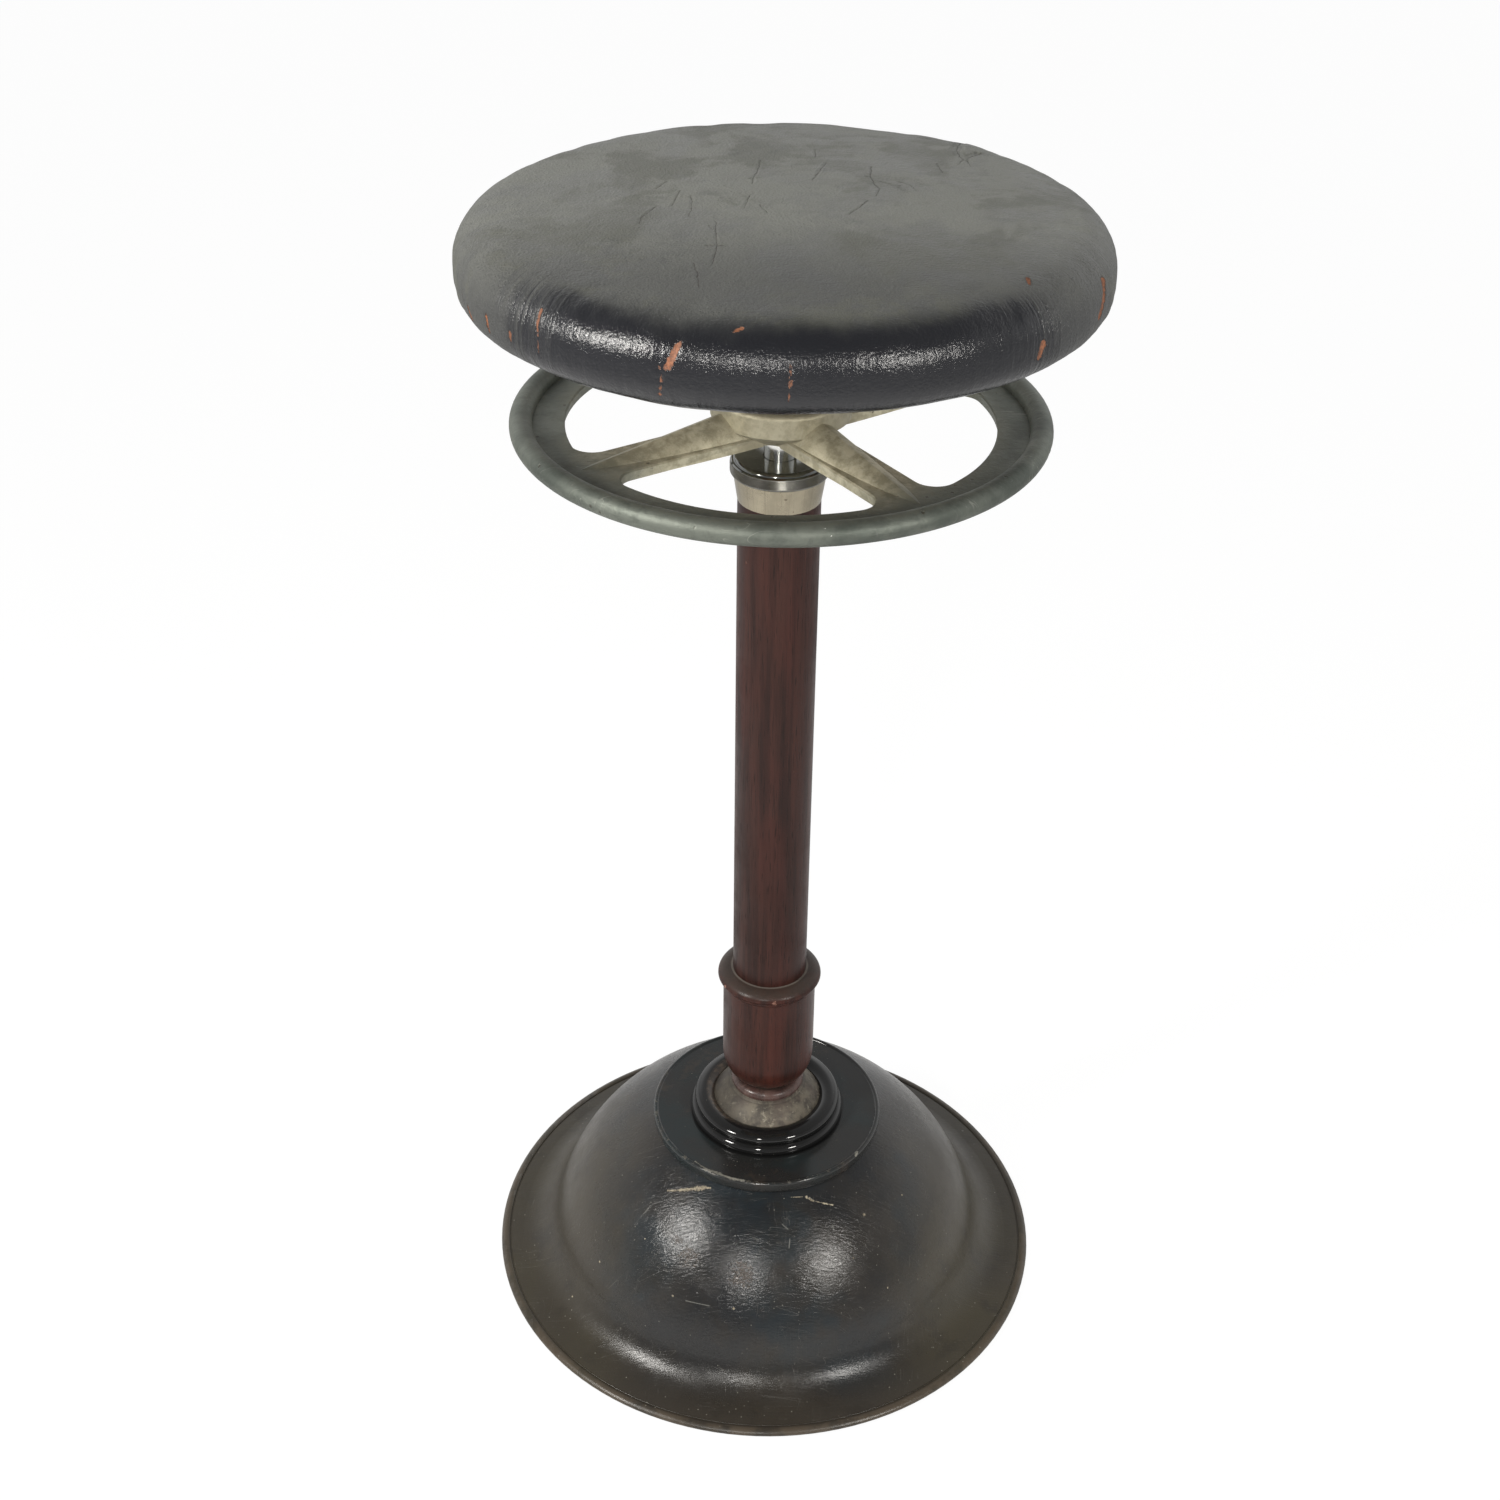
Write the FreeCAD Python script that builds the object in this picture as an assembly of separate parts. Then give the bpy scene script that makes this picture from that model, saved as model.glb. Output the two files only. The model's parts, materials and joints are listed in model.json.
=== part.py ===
"""A dental operating stool: padded leather seat, handwheel, wooden column and bell base.

Lengths are in millimetres and angles in degrees. +Z is up, the floor is z = 0, and the axis
of the column is the Z axis. Every piece is a closed solid at its place at rest.
"""
import FreeCAD, Part
import math
import os

Vector = FreeCAD.Vector
FULL_TURN = 360.0

# Fits shared by all pieces
running_clearance = 0.05     # radial, between a shaft and its bore
curved_clearance = 0.3       # between curved faces of pieces that move apart
soft_clearance = 0.3         # round stuffing, felt and leather
cut_overrun = 1.0            # how far a cutting tool runs past the face it cuts

# Bell base
base_radius = 190.5
brim_width = 37.7            # from the dome's full radius out to the rim
bell_height = 110.8          # floor to the flat land on top
dome_drop = 3.5              # the ellipse's centre lies this far below the floor
bell_wall = 4.5
bell_land_thickness = 4.8
bell_land_reach = 3.1        # the land on top runs this far past the cup's flange
bell_hole_radius = 60.0
flare_radius = 30.33         # hollow round that joins the dome to the brim
flare_search_steps = 40
brim_slope_deg = 5.7
rim_height = 5.0             # top of the brim at the rim
rim_bead_width = 5.6
rim_bead_rise = 0.9
rim_groove_width = 1.2
rim_groove_depth = 0.7
rim_nose = 2.0               # rounding of the outer edge
floor_gap = 1.6              # bell to floor
floor_ring_width = 6.0
floor_ring_inset = 4.0       # from the rim
floor_ring_depth = 1.4       # let into the bell

# Ball joint
ball_radius = 44.0
ball_flat_drop = 42.0        # flat below the ball's centre
neck_radius = 17.0
neck_rise = 1.0              # neck above the ball's top
tenon_length = 28.0
screw_hole_depth = 25.0      # in the tenon, for the fixed screw
bolt_hole_depth = 36.0       # in the ball, for the draw bolt
neck_bead_section = 4.2
neck_bead_circle = 20.5
neck_bead_drop = 6.4         # bead's middle below the neck's top

# Socket casting with two beads
flange_radius = 78.9
flange_thickness = 7.2
flange_lip_width = 3.4
flange_lip_rise = 0.9
flange_foot_height = 1.8
flange_foot_inset = 0.6
spigot_clearance = 0.2
lower_bead_radius = 52.6
lower_bead_height = 7.2
upper_bead_radius = 49.9
upper_bead_rise = 14.9       # crest above the flange's face
upper_bead_crest_radius = 42.6
upper_bead_edge_rise = 10.9
bead_groove_radius = 48.6
socket_mouth_rise = 24.5     # seat's upper edge above the ball's centre

# Socket cup below, and what clamps it
cup_wall = 7.2
cup_flange_radius = 74.0
cup_flange_thickness = 8.0
cup_mouth_radius = 21.0
cup_boss_radius = 32.4
cup_boss_drop = 47.0         # cup's lower face below the ball's centre
socket_bolt_count = 6
socket_bolt_circle = 67.0
socket_bolt_radius = 4.0
socket_bolt_reach = 5.5      # into the flange
bolt_head_radius = 7.0
bolt_head_height = 5.5
bolt_washer_radius = 7.8
bolt_washer_thickness = 1.6

# Centring spring and draw bolt
level_washer_radius = 32.0
level_washer_bore = 18.5
level_washer_thickness = 4.0
level_washer_hub = 4.0
spring_height = 30.0
spring_wire = 5.0
spring_circle = 24.5
spring_turns = 3.5
spring_end_share = 0.2       # how much flatter the end turns lie than the mean
spring_plate_radius = 30.0
spring_plate_thickness = 4.0
spring_plate_boss_radius = 21.0
spring_plate_boss_height = 4.0
draw_bolt_radius = 8.0
draw_bolt_tip = 3.0          # below the nut
draw_nut_height = 10.0
draw_nut_flats = 26.0
nut_washer_radius = 15.0
nut_washer_thickness = 2.0
cotter_radius = 1.5
cotter_length = 34.0

# Wooden sleeve with its collar
sleeve_length = 92.0
sleeve_radius = 30.7
sleeve_round_height = 22.0
sleeve_round_reach = 14.0
collar_radius = 34.3
collar_upper_height = 6.0
collar_lower_height = 3.6
collar_top_land = 0.9        # flat between the collar's bead and the column
collar_ridge_height = 2.8
collar_ridge_reach = 1.3
column_socket_depth = 54.0

# Column
column_radius = 24.3
column_visible_length = 344.0
tube_radius = 15.9
tube_wall = 2.4
tube_proud = 3.0             # tube above the wooden column

# Fixed screw that the spindle climbs
screw_radius = 6.0
screw_collar_radius = 10.0
screw_collar_height = 4.0
screw_top_gap = 27.0         # below the column's top
foot_pin_radius = 2.0
foot_pin_drop = 13.0         # below the tenon's end

# Head of the column
ferrule_height = 16.0
ferrule_top_radius = 26.9
ferrule_neck_radius = 22.0
ferrule_neck_height = 6.5
ferrule_lip = 0.1            # ferrule's foot stands proud of the wood
bush_length = 36.0
bush_flange_height = 4.0
collet_height = 16.0
collet_slit_count = 4
collet_slit_width = 1.2
collet_slit_depth = 9.0
cap_radius = 28.4
cap_gap = 0.2
cap_plate = 3.2
cap_shoulder = 2.1
cap_top_radius = 24.2
cap_edge = 0.7
cap_bore_gap = 0.4
wiper_radius = 14.0
wiper_height = 1.7
oil_ball_radius = 1.1
oil_ball_angle = -24.0

# Spindle and what is on it
spindle_radius = 9.4
spindle_bore_gap = 0.3
spindle_bore_length = 226.0
spindle_foot_height = 223.0  # above the neck's top
spindle_nut_radius = 12.6
spindle_nut_socket = 16.0
spindle_nut_flange = 8.0
spindle_nut_hub_radius = 9.5
spindle_nut_hub = 16.0
nut_pin_radius = 1.5
guide_key_width = 4.0
guide_key_height = 8.0
guide_key_root = 2.0         # let into the collar
guide_key_depth = 1.1        # let into the tube
keyway_depth = 1.3
keyway_margin = 12.0         # keyway beyond the key's travel
retaining_ring_radius = 12.0
retaining_ring_thickness = 2.0
retaining_groove_depth = 0.6
retaining_ring_rise = 1.5
travel_up = 139.7
travel_down = 12.7

# Handwheel
wheel_radius = 152.4
wheel_gap = 16.5             # hub above the cap
rim_bead_radius = 6.5
rim_bead_centre_rise = 7.1
rim_hole_radius = 122.4
web_thickness = 6.2
web_draft = 1.3              # each side of the web leans out this much from foot to top
web_edge = 1.0               # chamfer along the web's upper edges
spoke_count = 4
spoke_angle = 34.5
spoke_half_width = 14.0
spoke_outer_fillet = 13.0
spoke_inner_fillet = 10.0
rib_root_circle = 22.0
rib_tip_circle = 128.0       # where the rib's crest sinks into the web
rib_crest_rise = 20.0        # crest above the wheel's underside, at the root
rib_flank_radius = 21.0
rib_flank_offset = 5.5       # the flanks' centres lie this far past the crest
hub_foot_radius = 24.0
hub_drum_radius = 40.0
hub_flare_rise = 10.5
hub_drum_rise = 24.0
hub_drum_edge = 3.0
hub_neck_radius = 20.0
hub_neck_fillet = 8.0
hub_height = 60.0
wheel_pin_radius = 2.5
wheel_pin_drop = 15.0        # below the hub's top
thrust_washer_radius = 16.5
thrust_washer_thickness = 3.0
retainer_washer_radius = 14.0
retainer_washer_thickness = 2.0
retainer_gap = 0.1
retainer_screw_radius = 4.0
retainer_screw_length = 18.0
retainer_head_radius = 7.0
retainer_head_height = 3.4
retainer_slot_width = 1.4
retainer_slot_depth = 1.4

# Seat
seat_radius = 177.9
seat_side_foot = 15.0        # radius of the lower edge
seat_side_top = 25.0         # radius of the upper edge
seat_side_height = 47.1      # underside to the top of the upper edge's round
seat_crown_deg = 6.0         # slope where the crown meets the upper edge
cover_thickness = 2.2
cover_turn_under = 24.0      # leather turned under the board
board_edge_gap = 0.6         # board to the start of the leather's lower round
board_thickness = 12.0
seat_plate_radius = 62.0
seat_plate_thickness = 6.0
seat_boss_radius = 17.0
seat_boss_height = 13.0
seat_recess_radius = 16.0
seat_boss_fillet = 4.0
seat_screw_count = 6
seat_screw_circle = 48.0
seat_screw_radius = 2.4
seat_screw_length = 15.0
seat_screw_head = 4.8
seat_screw_head_depth = 2.8
tack_count = 36
tack_head_radius = 3.4
tack_head_height = 1.5
tack_shank_radius = 0.7
tack_length = 8.0
tack_inset = 7.0             # from the board's edge

# Heights that follow from the sizes above
ball_z = bell_height - bell_land_thickness
neck_z = ball_z + ball_radius + neck_rise
tenon_z = neck_z + tenon_length
sleeve_z = neck_z + sleeve_length
column_foot_z = sleeve_z - column_socket_depth
column_z = sleeve_z + column_visible_length
tube_z = column_z + tube_proud
bush_z = tube_z + bush_flange_height
collet_z = bush_z + collet_height
ferrule_z = column_z + ferrule_height
cap_z = collet_z + cap_plate
wheel_z = cap_z + wheel_gap
hub_z = wheel_z + hub_height
seat_boss_z = hub_z + thrust_washer_thickness
seat_plate_z = seat_boss_z + seat_boss_height
board_z = seat_plate_z + seat_plate_thickness
seat_z = board_z - cover_thickness
spindle_z = seat_plate_z + retainer_gap
spindle_foot_z = neck_z + spindle_foot_height
nut_flange_z = spindle_foot_z - spindle_nut_flange
nut_hub_z = nut_flange_z - spindle_nut_hub
guide_z = nut_hub_z + retaining_ring_rise + retaining_ring_thickness + running_clearance
guide_top_z = nut_flange_z - running_clearance
guide_key_z = (guide_z + guide_top_z - guide_key_height) / 2
cup_face_z = ball_z - cup_boss_drop
level_washer_z = cup_face_z - level_washer_thickness
spring_foot_z = level_washer_z - spring_height
spring_plate_z = spring_foot_z - spring_plate_thickness
draw_nut_top_z = spring_plate_z - nut_washer_thickness
draw_nut_z = draw_nut_top_z - draw_nut_height
draw_bolt_z = draw_nut_z - draw_bolt_tip
screw_top_z = column_z - screw_top_gap

# Bores that follow from what runs in them
tube_bore = tube_radius - tube_wall
socket_radius = ball_radius + curved_clearance
spindle_way = spindle_radius + running_clearance
tube_way = tube_radius + running_clearance
dome_radius = base_radius - brim_width
bell_land_radius = cup_flange_radius + bell_land_reach
dome_rise = (bell_height + dome_drop) / math.sqrt(1 - (bell_land_radius / dome_radius) ** 2)
board_radius = seat_radius - seat_side_foot - board_edge_gap
dome_z = -dome_drop


def at(radius, height):
    return Vector(radius, 0, height)


def line(start, end):
    return Part.LineSegment(start, end).toShape()


def arc(start, middle, end):
    return Part.Arc(start, middle, end).toShape()


def round_arc(centre, radius, start_deg, end_deg):
    """Arc in the upright half plane, by its angles from the outward direction."""
    angles = [start_deg, (start_deg + end_deg) / 2, end_deg]
    points = [centre + at(radius * math.cos(math.radians(a)), radius * math.sin(math.radians(a)))
              for a in angles]
    return arc(*points)


def spline(points):
    curve = Part.BSplineCurve()
    curve.interpolate(points)
    return curve.toShape()


def outline(*parts):
    """Edges in order; a point on its own joins to its neighbours by straight lines."""
    edges = []
    cursor = None
    first = None
    for part in parts:
        if isinstance(part, Vector):
            start = end = part
        else:
            start = part.firstVertex(True).Point
            end = part.lastVertex(True).Point
        if first is None:
            first = start
        if cursor is not None and not cursor.isEqual(start, running_clearance / 100):
            edges.append(line(cursor, start))
        if not isinstance(part, Vector):
            edges.append(part)
        cursor = end
    if not cursor.isEqual(first, running_clearance / 100):
        edges.append(line(cursor, first))
    return Part.Wire(edges)


def turned(*parts):
    """Solid of revolution about the column's axis."""
    face = Part.Face(outline(*parts))
    solid = face.revolve(Vector(0, 0, 0), Vector(0, 0, 1), FULL_TURN)
    if solid.Volume < 0:
        solid.reverse()
    return Part.Solid(solid) if solid.ShapeType == "Shell" else solid


def ring(inner, outer, low, high):
    return turned(at(inner, low), at(outer, low), at(outer, high), at(inner, high))


def rod(radius, low, high):
    return Part.makeCylinder(radius, high - low, at(0, low))


def placed(shape, angle):
    copy = shape.copy()
    copy.rotate(Vector(0, 0, 0), Vector(0, 0, 1), angle)
    return copy


def around(shape, count, start=0.0):
    return [placed(shape, start + FULL_TURN * i / count) for i in range(count)]


def cross_rod(radius, half_length, height):
    """Rod across the axis, along X."""
    return Part.makeCylinder(radius, half_length * 2, Vector(-half_length, 0, height), Vector(1, 0, 0))


def radial_rod(radius, inner, outer, height, angle):
    shape = Part.makeCylinder(radius, outer - inner, Vector(inner, 0, height), Vector(1, 0, 0))
    return placed(shape, angle)


def hexagon(flats, low, high):
    corner = flats / math.sqrt(3)
    turns = [2 * math.pi * i / 6 for i in range(7)]
    points = [Vector(corner * math.cos(t), corner * math.sin(t), low) for t in turns]
    return Part.Face(Part.makePolygon(points)).extrude(Vector(0, 0, high - low))


def dome_point(shrink, slope_deg):
    """Point of the dome's ellipse, drawn in by a wall, where it has this slope."""
    across = dome_radius - shrink
    upright = dome_rise - shrink
    turn = math.atan2(math.tan(math.radians(slope_deg)) * across, upright)
    return at(across * math.sin(turn), dome_z + upright * math.cos(turn))


def dome_curve(shrink, top_z, slope_deg, steps=8):
    """The dome from a level near its top down to where it has the given slope."""
    across = dome_radius - shrink
    upright = dome_rise - shrink
    start = math.acos((top_z - dome_z) / upright)
    end = math.atan2(math.tan(math.radians(slope_deg)) * across, upright)
    turns = [start + (end - start) * i / steps for i in range(steps + 1)]
    return spline([at(across * math.sin(t), dome_z + upright * math.cos(t)) for t in turns])


def flare_miss(slope_deg):
    """How far above the brim's slope the flare would end if it left the dome at this slope."""
    low = math.radians(brim_slope_deg)
    high = math.radians(slope_deg)
    join = dome_point(0, slope_deg)
    drop = join.z - rim_height - (base_radius - join.x) * math.tan(low)
    span = math.cos(low) - math.cos(high) - (math.sin(high) - math.sin(low)) * math.tan(low)
    return drop - flare_radius * span


def flare_geometry():
    """Centre and starting slope of the hollow round that joins the dome to the brim."""
    flat, steep = brim_slope_deg, 90.0
    for step in range(flare_search_steps):
        middle = (flat + steep) / 2
        if flare_miss(middle) > 0:
            flat = middle
        else:
            steep = middle
    turn = math.radians(steep)
    reach = at(flare_radius * math.sin(turn), flare_radius * math.cos(turn))
    return dome_point(0, steep) + reach, steep


def base_bell():
    centre, start_deg = flare_geometry()
    outer_flare = round_arc(centre, flare_radius, 270 - start_deg, 270 - brim_slope_deg)
    inner_radius = centre.z - floor_gap
    bead_start = base_radius - rim_bead_width
    groove_start = bead_start - rim_groove_width
    slope = math.tan(math.radians(brim_slope_deg))
    groove_top = rim_height + (base_radius - groove_start) * slope
    rim_z = floor_gap + (rim_height - floor_gap) / 2
    ring_outer = base_radius - floor_ring_inset
    ring_inner = ring_outer - floor_ring_width
    ring_top = floor_gap + floor_ring_depth
    inner_flare = arc(at(centre.x, floor_gap),
                      centre + at(-inner_radius * math.sin(math.radians(start_deg / 2)),
                                  -inner_radius * math.cos(math.radians(start_deg / 2))),
                      centre + at(-inner_radius * math.sin(math.radians(start_deg)),
                                  -inner_radius * math.cos(math.radians(start_deg))))
    flare_end = inner_flare.lastVertex(True).Point
    inner_top_z = bell_height - bell_land_thickness
    across = dome_radius - bell_wall
    upright = dome_rise - bell_wall
    join_turn = math.asin(min(flare_end.x / across, math.sin(math.radians(start_deg))))
    top_turn = math.acos((inner_top_z - dome_z) / upright)
    turns = [join_turn + (top_turn - join_turn) * i / 8 for i in range(1, 9)]
    inner_dome = spline([flare_end] + [at(across * math.sin(t), dome_z + upright * math.cos(t))
                                       for t in turns])
    bell = turned(
        at(bell_hole_radius, bell_height),
        dome_curve(0, bell_height, start_deg),
        outer_flare,
        at(groove_start, groove_top),
        arc(at(groove_start, groove_top),
            at(groove_start + rim_groove_width / 2, groove_top - rim_groove_depth),
            at(bead_start, groove_top)),
        arc(at(bead_start, groove_top),
            at(base_radius - rim_bead_width / 2, rim_height + rim_bead_rise),
            at(base_radius - rim_nose / 4, rim_height - rim_nose / 4)),
        arc(at(base_radius - rim_nose / 4, rim_height - rim_nose / 4), at(base_radius, rim_z),
            at(base_radius - rim_nose / 2, floor_gap)),
        at(ring_outer, floor_gap),
        at(ring_outer, ring_top),
        at(ring_inner, ring_top),
        at(ring_inner, floor_gap),
        inner_flare,
        inner_dome,
        at(bell_hole_radius, inner_top_z))
    return bell.cut(Part.Compound(bolt_holes(inner_top_z, bell_height)))


def bolt_holes(low, high):
    hole = rod(socket_bolt_radius + running_clearance, low - cut_overrun, high + cut_overrun)
    hole.translate(Vector(socket_bolt_circle, 0, 0))
    return around(hole, socket_bolt_count)


def floor_ring():
    outer = base_radius - floor_ring_inset
    return ring(outer - floor_ring_width, outer, 0, floor_gap + floor_ring_depth)


def sphere_edge(radius, start_z, end_z):
    """Arc of a sphere about the ball's centre, between two heights on the outward side."""
    middle = (start_z + end_z) / 2
    points = [at(math.sqrt(radius ** 2 - (z - ball_z) ** 2), z) for z in (start_z, middle, end_z)]
    return arc(*points)


def socket_flange():
    face_z = bell_height + flange_thickness
    mouth_z = ball_z + socket_mouth_rise
    lip_start = flange_radius - flange_lip_width
    groove_z = face_z + lower_bead_height
    edge_z = face_z + upper_bead_edge_rise
    mouth = sphere_edge(socket_radius, ball_z, mouth_z)
    mouth_edge = mouth.lastVertex(True).Point
    crest = at(upper_bead_crest_radius, face_z + upper_bead_rise)
    outer_shoulder = at((upper_bead_crest_radius + upper_bead_radius) / 2 + cap_edge,
                        crest.z - flange_lip_rise)
    foot_z = bell_height + flange_foot_height
    spigot = bell_hole_radius - spigot_clearance
    casting = turned(
        mouth,
        arc(mouth_edge, crest, outer_shoulder),
        arc(outer_shoulder, at(upper_bead_radius, edge_z), at(bead_groove_radius, groove_z)),
        arc(at(bead_groove_radius, groove_z), at(lower_bead_radius, face_z + lower_bead_height / 2),
            at(lower_bead_radius - flange_lip_rise, face_z)),
        arc(at(lip_start, face_z), at(lip_start + flange_lip_width / 2, face_z + flange_lip_rise),
            at(flange_radius, face_z - flange_lip_rise)),
        at(flange_radius, foot_z),
        at(flange_radius - flange_foot_inset, bell_height),
        at(spigot, bell_height),
        at(spigot, ball_z))
    tapped = bolt_holes(bell_height, bell_height + socket_bolt_reach - cut_overrun)
    return casting.cut(Part.Compound(tapped))


def socket_cup():
    outer = socket_radius + cup_wall
    flange_z = ball_z - cup_flange_thickness
    mouth_z = ball_z - math.sqrt(socket_radius ** 2 - cup_mouth_radius ** 2)
    boss_z = ball_z - math.sqrt(outer ** 2 - cup_boss_radius ** 2)
    cup = turned(
        at(socket_radius, ball_z),
        at(cup_flange_radius, ball_z),
        at(cup_flange_radius, flange_z),
        sphere_edge(outer, flange_z, boss_z),
        at(cup_boss_radius, cup_face_z),
        at(cup_mouth_radius, cup_face_z),
        sphere_edge(socket_radius, mouth_z, ball_z))
    return cup.cut(Part.Compound(bolt_holes(flange_z, ball_z)))


def socket_bolts():
    under = ball_z - cup_flange_thickness - bolt_washer_thickness
    top = bell_height + socket_bolt_reach
    head = hexagon(bolt_head_radius * math.sqrt(3), under - bolt_head_height, under)
    bolt = head.fuse(rod(socket_bolt_radius, under, top)).removeSplitter()
    bolt.translate(Vector(socket_bolt_circle, 0, 0))
    return Part.Compound(around(bolt, socket_bolt_count))


def bolt_washers():
    top = ball_z - cup_flange_thickness
    washer = ring(socket_bolt_radius + running_clearance, bolt_washer_radius,
                  top - bolt_washer_thickness, top)
    washer.translate(Vector(socket_bolt_circle, 0, 0))
    return Part.Compound(around(washer, socket_bolt_count))


def level_washer():
    """Stays level under the cup and turns in its mouth; the spring bears on it."""
    hub = cup_mouth_radius - curved_clearance
    return turned(
        at(level_washer_bore, level_washer_z),
        at(level_washer_radius, level_washer_z),
        at(level_washer_radius, cup_face_z),
        at(hub, cup_face_z),
        at(hub, cup_face_z + level_washer_hub),
        at(level_washer_bore, cup_face_z + level_washer_hub))


def ball_foot():
    flat_z = ball_z - ball_flat_drop
    neck_foot_z = ball_z + math.sqrt(ball_radius ** 2 - neck_radius ** 2)
    tenon = tube_bore - running_clearance
    bolt_way = draw_bolt_radius + running_clearance
    screw_way = screw_radius + running_clearance
    ball = turned(
        at(bolt_way, flat_z),
        sphere_edge(ball_radius, flat_z, neck_foot_z),
        at(neck_radius, neck_z),
        at(tenon, neck_z),
        at(tenon, tenon_z),
        at(screw_way, tenon_z),
        at(screw_way, tenon_z - screw_hole_depth),
        at(0, tenon_z - screw_hole_depth),
        at(0, flat_z + bolt_hole_depth),
        at(bolt_way, flat_z + bolt_hole_depth))
    pin_way = cross_rod(foot_pin_radius + running_clearance, tenon + cut_overrun, tenon_z - foot_pin_drop)
    return ball.cut(pin_way)


def neck_ring():
    """Turned bead that lies on the ball round its neck."""
    middle = neck_z - neck_bead_drop
    bore = neck_radius + running_clearance
    half_height = math.sqrt(neck_bead_section ** 2 - (neck_bead_circle - bore) ** 2)
    bead = turned(
        arc(at(bore, middle - half_height), at(neck_bead_circle + neck_bead_section, middle),
            at(bore, middle + half_height)))
    ball = Part.makeSphere(ball_radius, at(0, ball_z))
    return bead.cut(ball)


def draw_bolt():
    top = ball_z - ball_flat_drop + bolt_hole_depth - running_clearance
    bolt = rod(draw_bolt_radius, draw_bolt_z, top)
    return bolt.cut(cotter_way(draw_bolt_radius + cut_overrun))


def cotter_way(half_length):
    middle = draw_nut_z + draw_nut_height / 3
    return cross_rod(cotter_radius + running_clearance, half_length, middle)


def spring_line():
    """Quarter-turn arcs of the spring's centre line, flatter at its ends."""
    foot = spring_foot_z + spring_wire / 2
    climb = spring_height - spring_wire
    arcs = int(round(spring_turns * 4))

    def point(turn):
        share = turn / spring_turns
        lift = share - spring_end_share * math.sin(2 * math.pi * share) / (2 * math.pi)
        angle = 2 * math.pi * turn
        return Vector(spring_circle * math.cos(angle), spring_circle * math.sin(angle),
                      foot + climb * lift)

    quarter = spring_turns / arcs
    edges = [arc(point(i * quarter), point((i + 0.5) * quarter), point((i + 1) * quarter))
             for i in range(arcs)]
    return edges, point


def centring_spring():
    edges, point = spring_line()
    gap = min((point(i / 40 + 1) - point(i / 40)).Length
              for i in range(int((spring_turns - 1) * 40) + 1)) - spring_wire
    print("centring spring: least gap between turns %.2f mm" % gap)
    start = edges[0].firstVertex(True).Point
    section = Part.Wire(Part.Circle(start, edges[0].tangentAt(edges[0].FirstParameter),
                                    spring_wire / 2).toShape())
    return Part.Wire(edges).makePipeShell([section], True, False)


def spring_plate():
    boss_z = spring_foot_z + spring_plate_boss_height
    bore = draw_bolt_radius + running_clearance
    return turned(
        at(bore, spring_plate_z),
        at(spring_plate_radius, spring_plate_z),
        at(spring_plate_radius, spring_foot_z),
        at(spring_plate_boss_radius, spring_foot_z),
        at(spring_plate_boss_radius, boss_z),
        at(bore, boss_z))


def nut_washer():
    return ring(draw_bolt_radius + running_clearance, nut_washer_radius, draw_nut_top_z, spring_plate_z)


def draw_nut():
    nut = hexagon(draw_nut_flats, draw_nut_z, draw_nut_top_z)
    bore = rod(draw_bolt_radius + running_clearance, draw_nut_z - cut_overrun, draw_nut_top_z + cut_overrun)
    return nut.cut(Part.Compound([bore, cotter_way(draw_nut_flats)]))


def cotter_pin():
    middle = draw_nut_z + draw_nut_height / 3
    return cross_rod(cotter_radius, cotter_length / 2, middle)


def sleeve():
    """Turned wooden sleeve: rounded foot, straight body and a bead for a collar."""
    round_z = neck_z + sleeve_round_height
    centre = at(sleeve_radius + running_clearance - sleeve_round_reach, round_z)
    foot_turns = [math.radians(-84 + 84 * i / 6) for i in range(7)]
    foot = spline([centre + at(sleeve_round_reach * math.cos(t), sleeve_round_height * math.sin(t))
                   for t in foot_turns])
    widest_z = sleeve_z - collar_upper_height
    inner = column_radius + collar_top_land
    reach = collar_radius - inner
    under = math.acos(min(1, (sleeve_radius + collar_ridge_reach / 2 - inner) / reach))
    lower = spline([at(inner + reach * math.cos(t), widest_z + collar_lower_height * math.sin(t))
                    for t in (-under, -under * 2 / 3, -under / 3, 0)])
    upper = spline([at(inner + reach * math.cos(t), widest_z + collar_upper_height * math.sin(t))
                    for t in [math.pi / 2 * i / 5 for i in range(6)]])
    ridge_top = lower.firstVertex(True).Point
    ridge_foot = at(sleeve_radius, ridge_top.z - collar_ridge_height)
    ridge = arc(ridge_foot, at(sleeve_radius + collar_ridge_reach, ridge_top.z - collar_ridge_height / 2),
                ridge_top)
    return turned(
        at(tube_way, neck_z),
        at(foot.firstVertex(True).Point.x, neck_z),
        foot,
        ridge,
        lower,
        upper,
        at(column_radius + running_clearance, sleeve_z),
        at(column_radius + running_clearance, column_foot_z),
        at(tube_way, column_foot_z))


def column():
    return ring(tube_way, column_radius, column_foot_z, column_z)


def steel_tube():
    tube = ring(tube_bore, tube_radius, neck_z, tube_z)
    low = guide_key_z - travel_down - keyway_margin
    high = guide_key_z + guide_key_height + travel_up + keyway_margin
    keyway = Part.makeBox(tube_bore + keyway_depth, guide_key_width + 2 * running_clearance, high - low,
                          Vector(0, -guide_key_width / 2 - running_clearance, low))
    return tube.cut(keyway)


def fixed_screw():
    collar = rod(screw_collar_radius, tenon_z, tenon_z + screw_collar_height)
    stem = rod(screw_radius, tenon_z - screw_hole_depth, screw_top_z)
    pin_way = cross_rod(foot_pin_radius + running_clearance, screw_radius + cut_overrun,
                        tenon_z - foot_pin_drop)
    return stem.fuse(collar).removeSplitter().cut(pin_way)


def foot_pin():
    half = math.sqrt((tube_bore - running_clearance) ** 2 - foot_pin_radius ** 2) - running_clearance
    return cross_rod(foot_pin_radius, half, tenon_z - foot_pin_drop)


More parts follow.
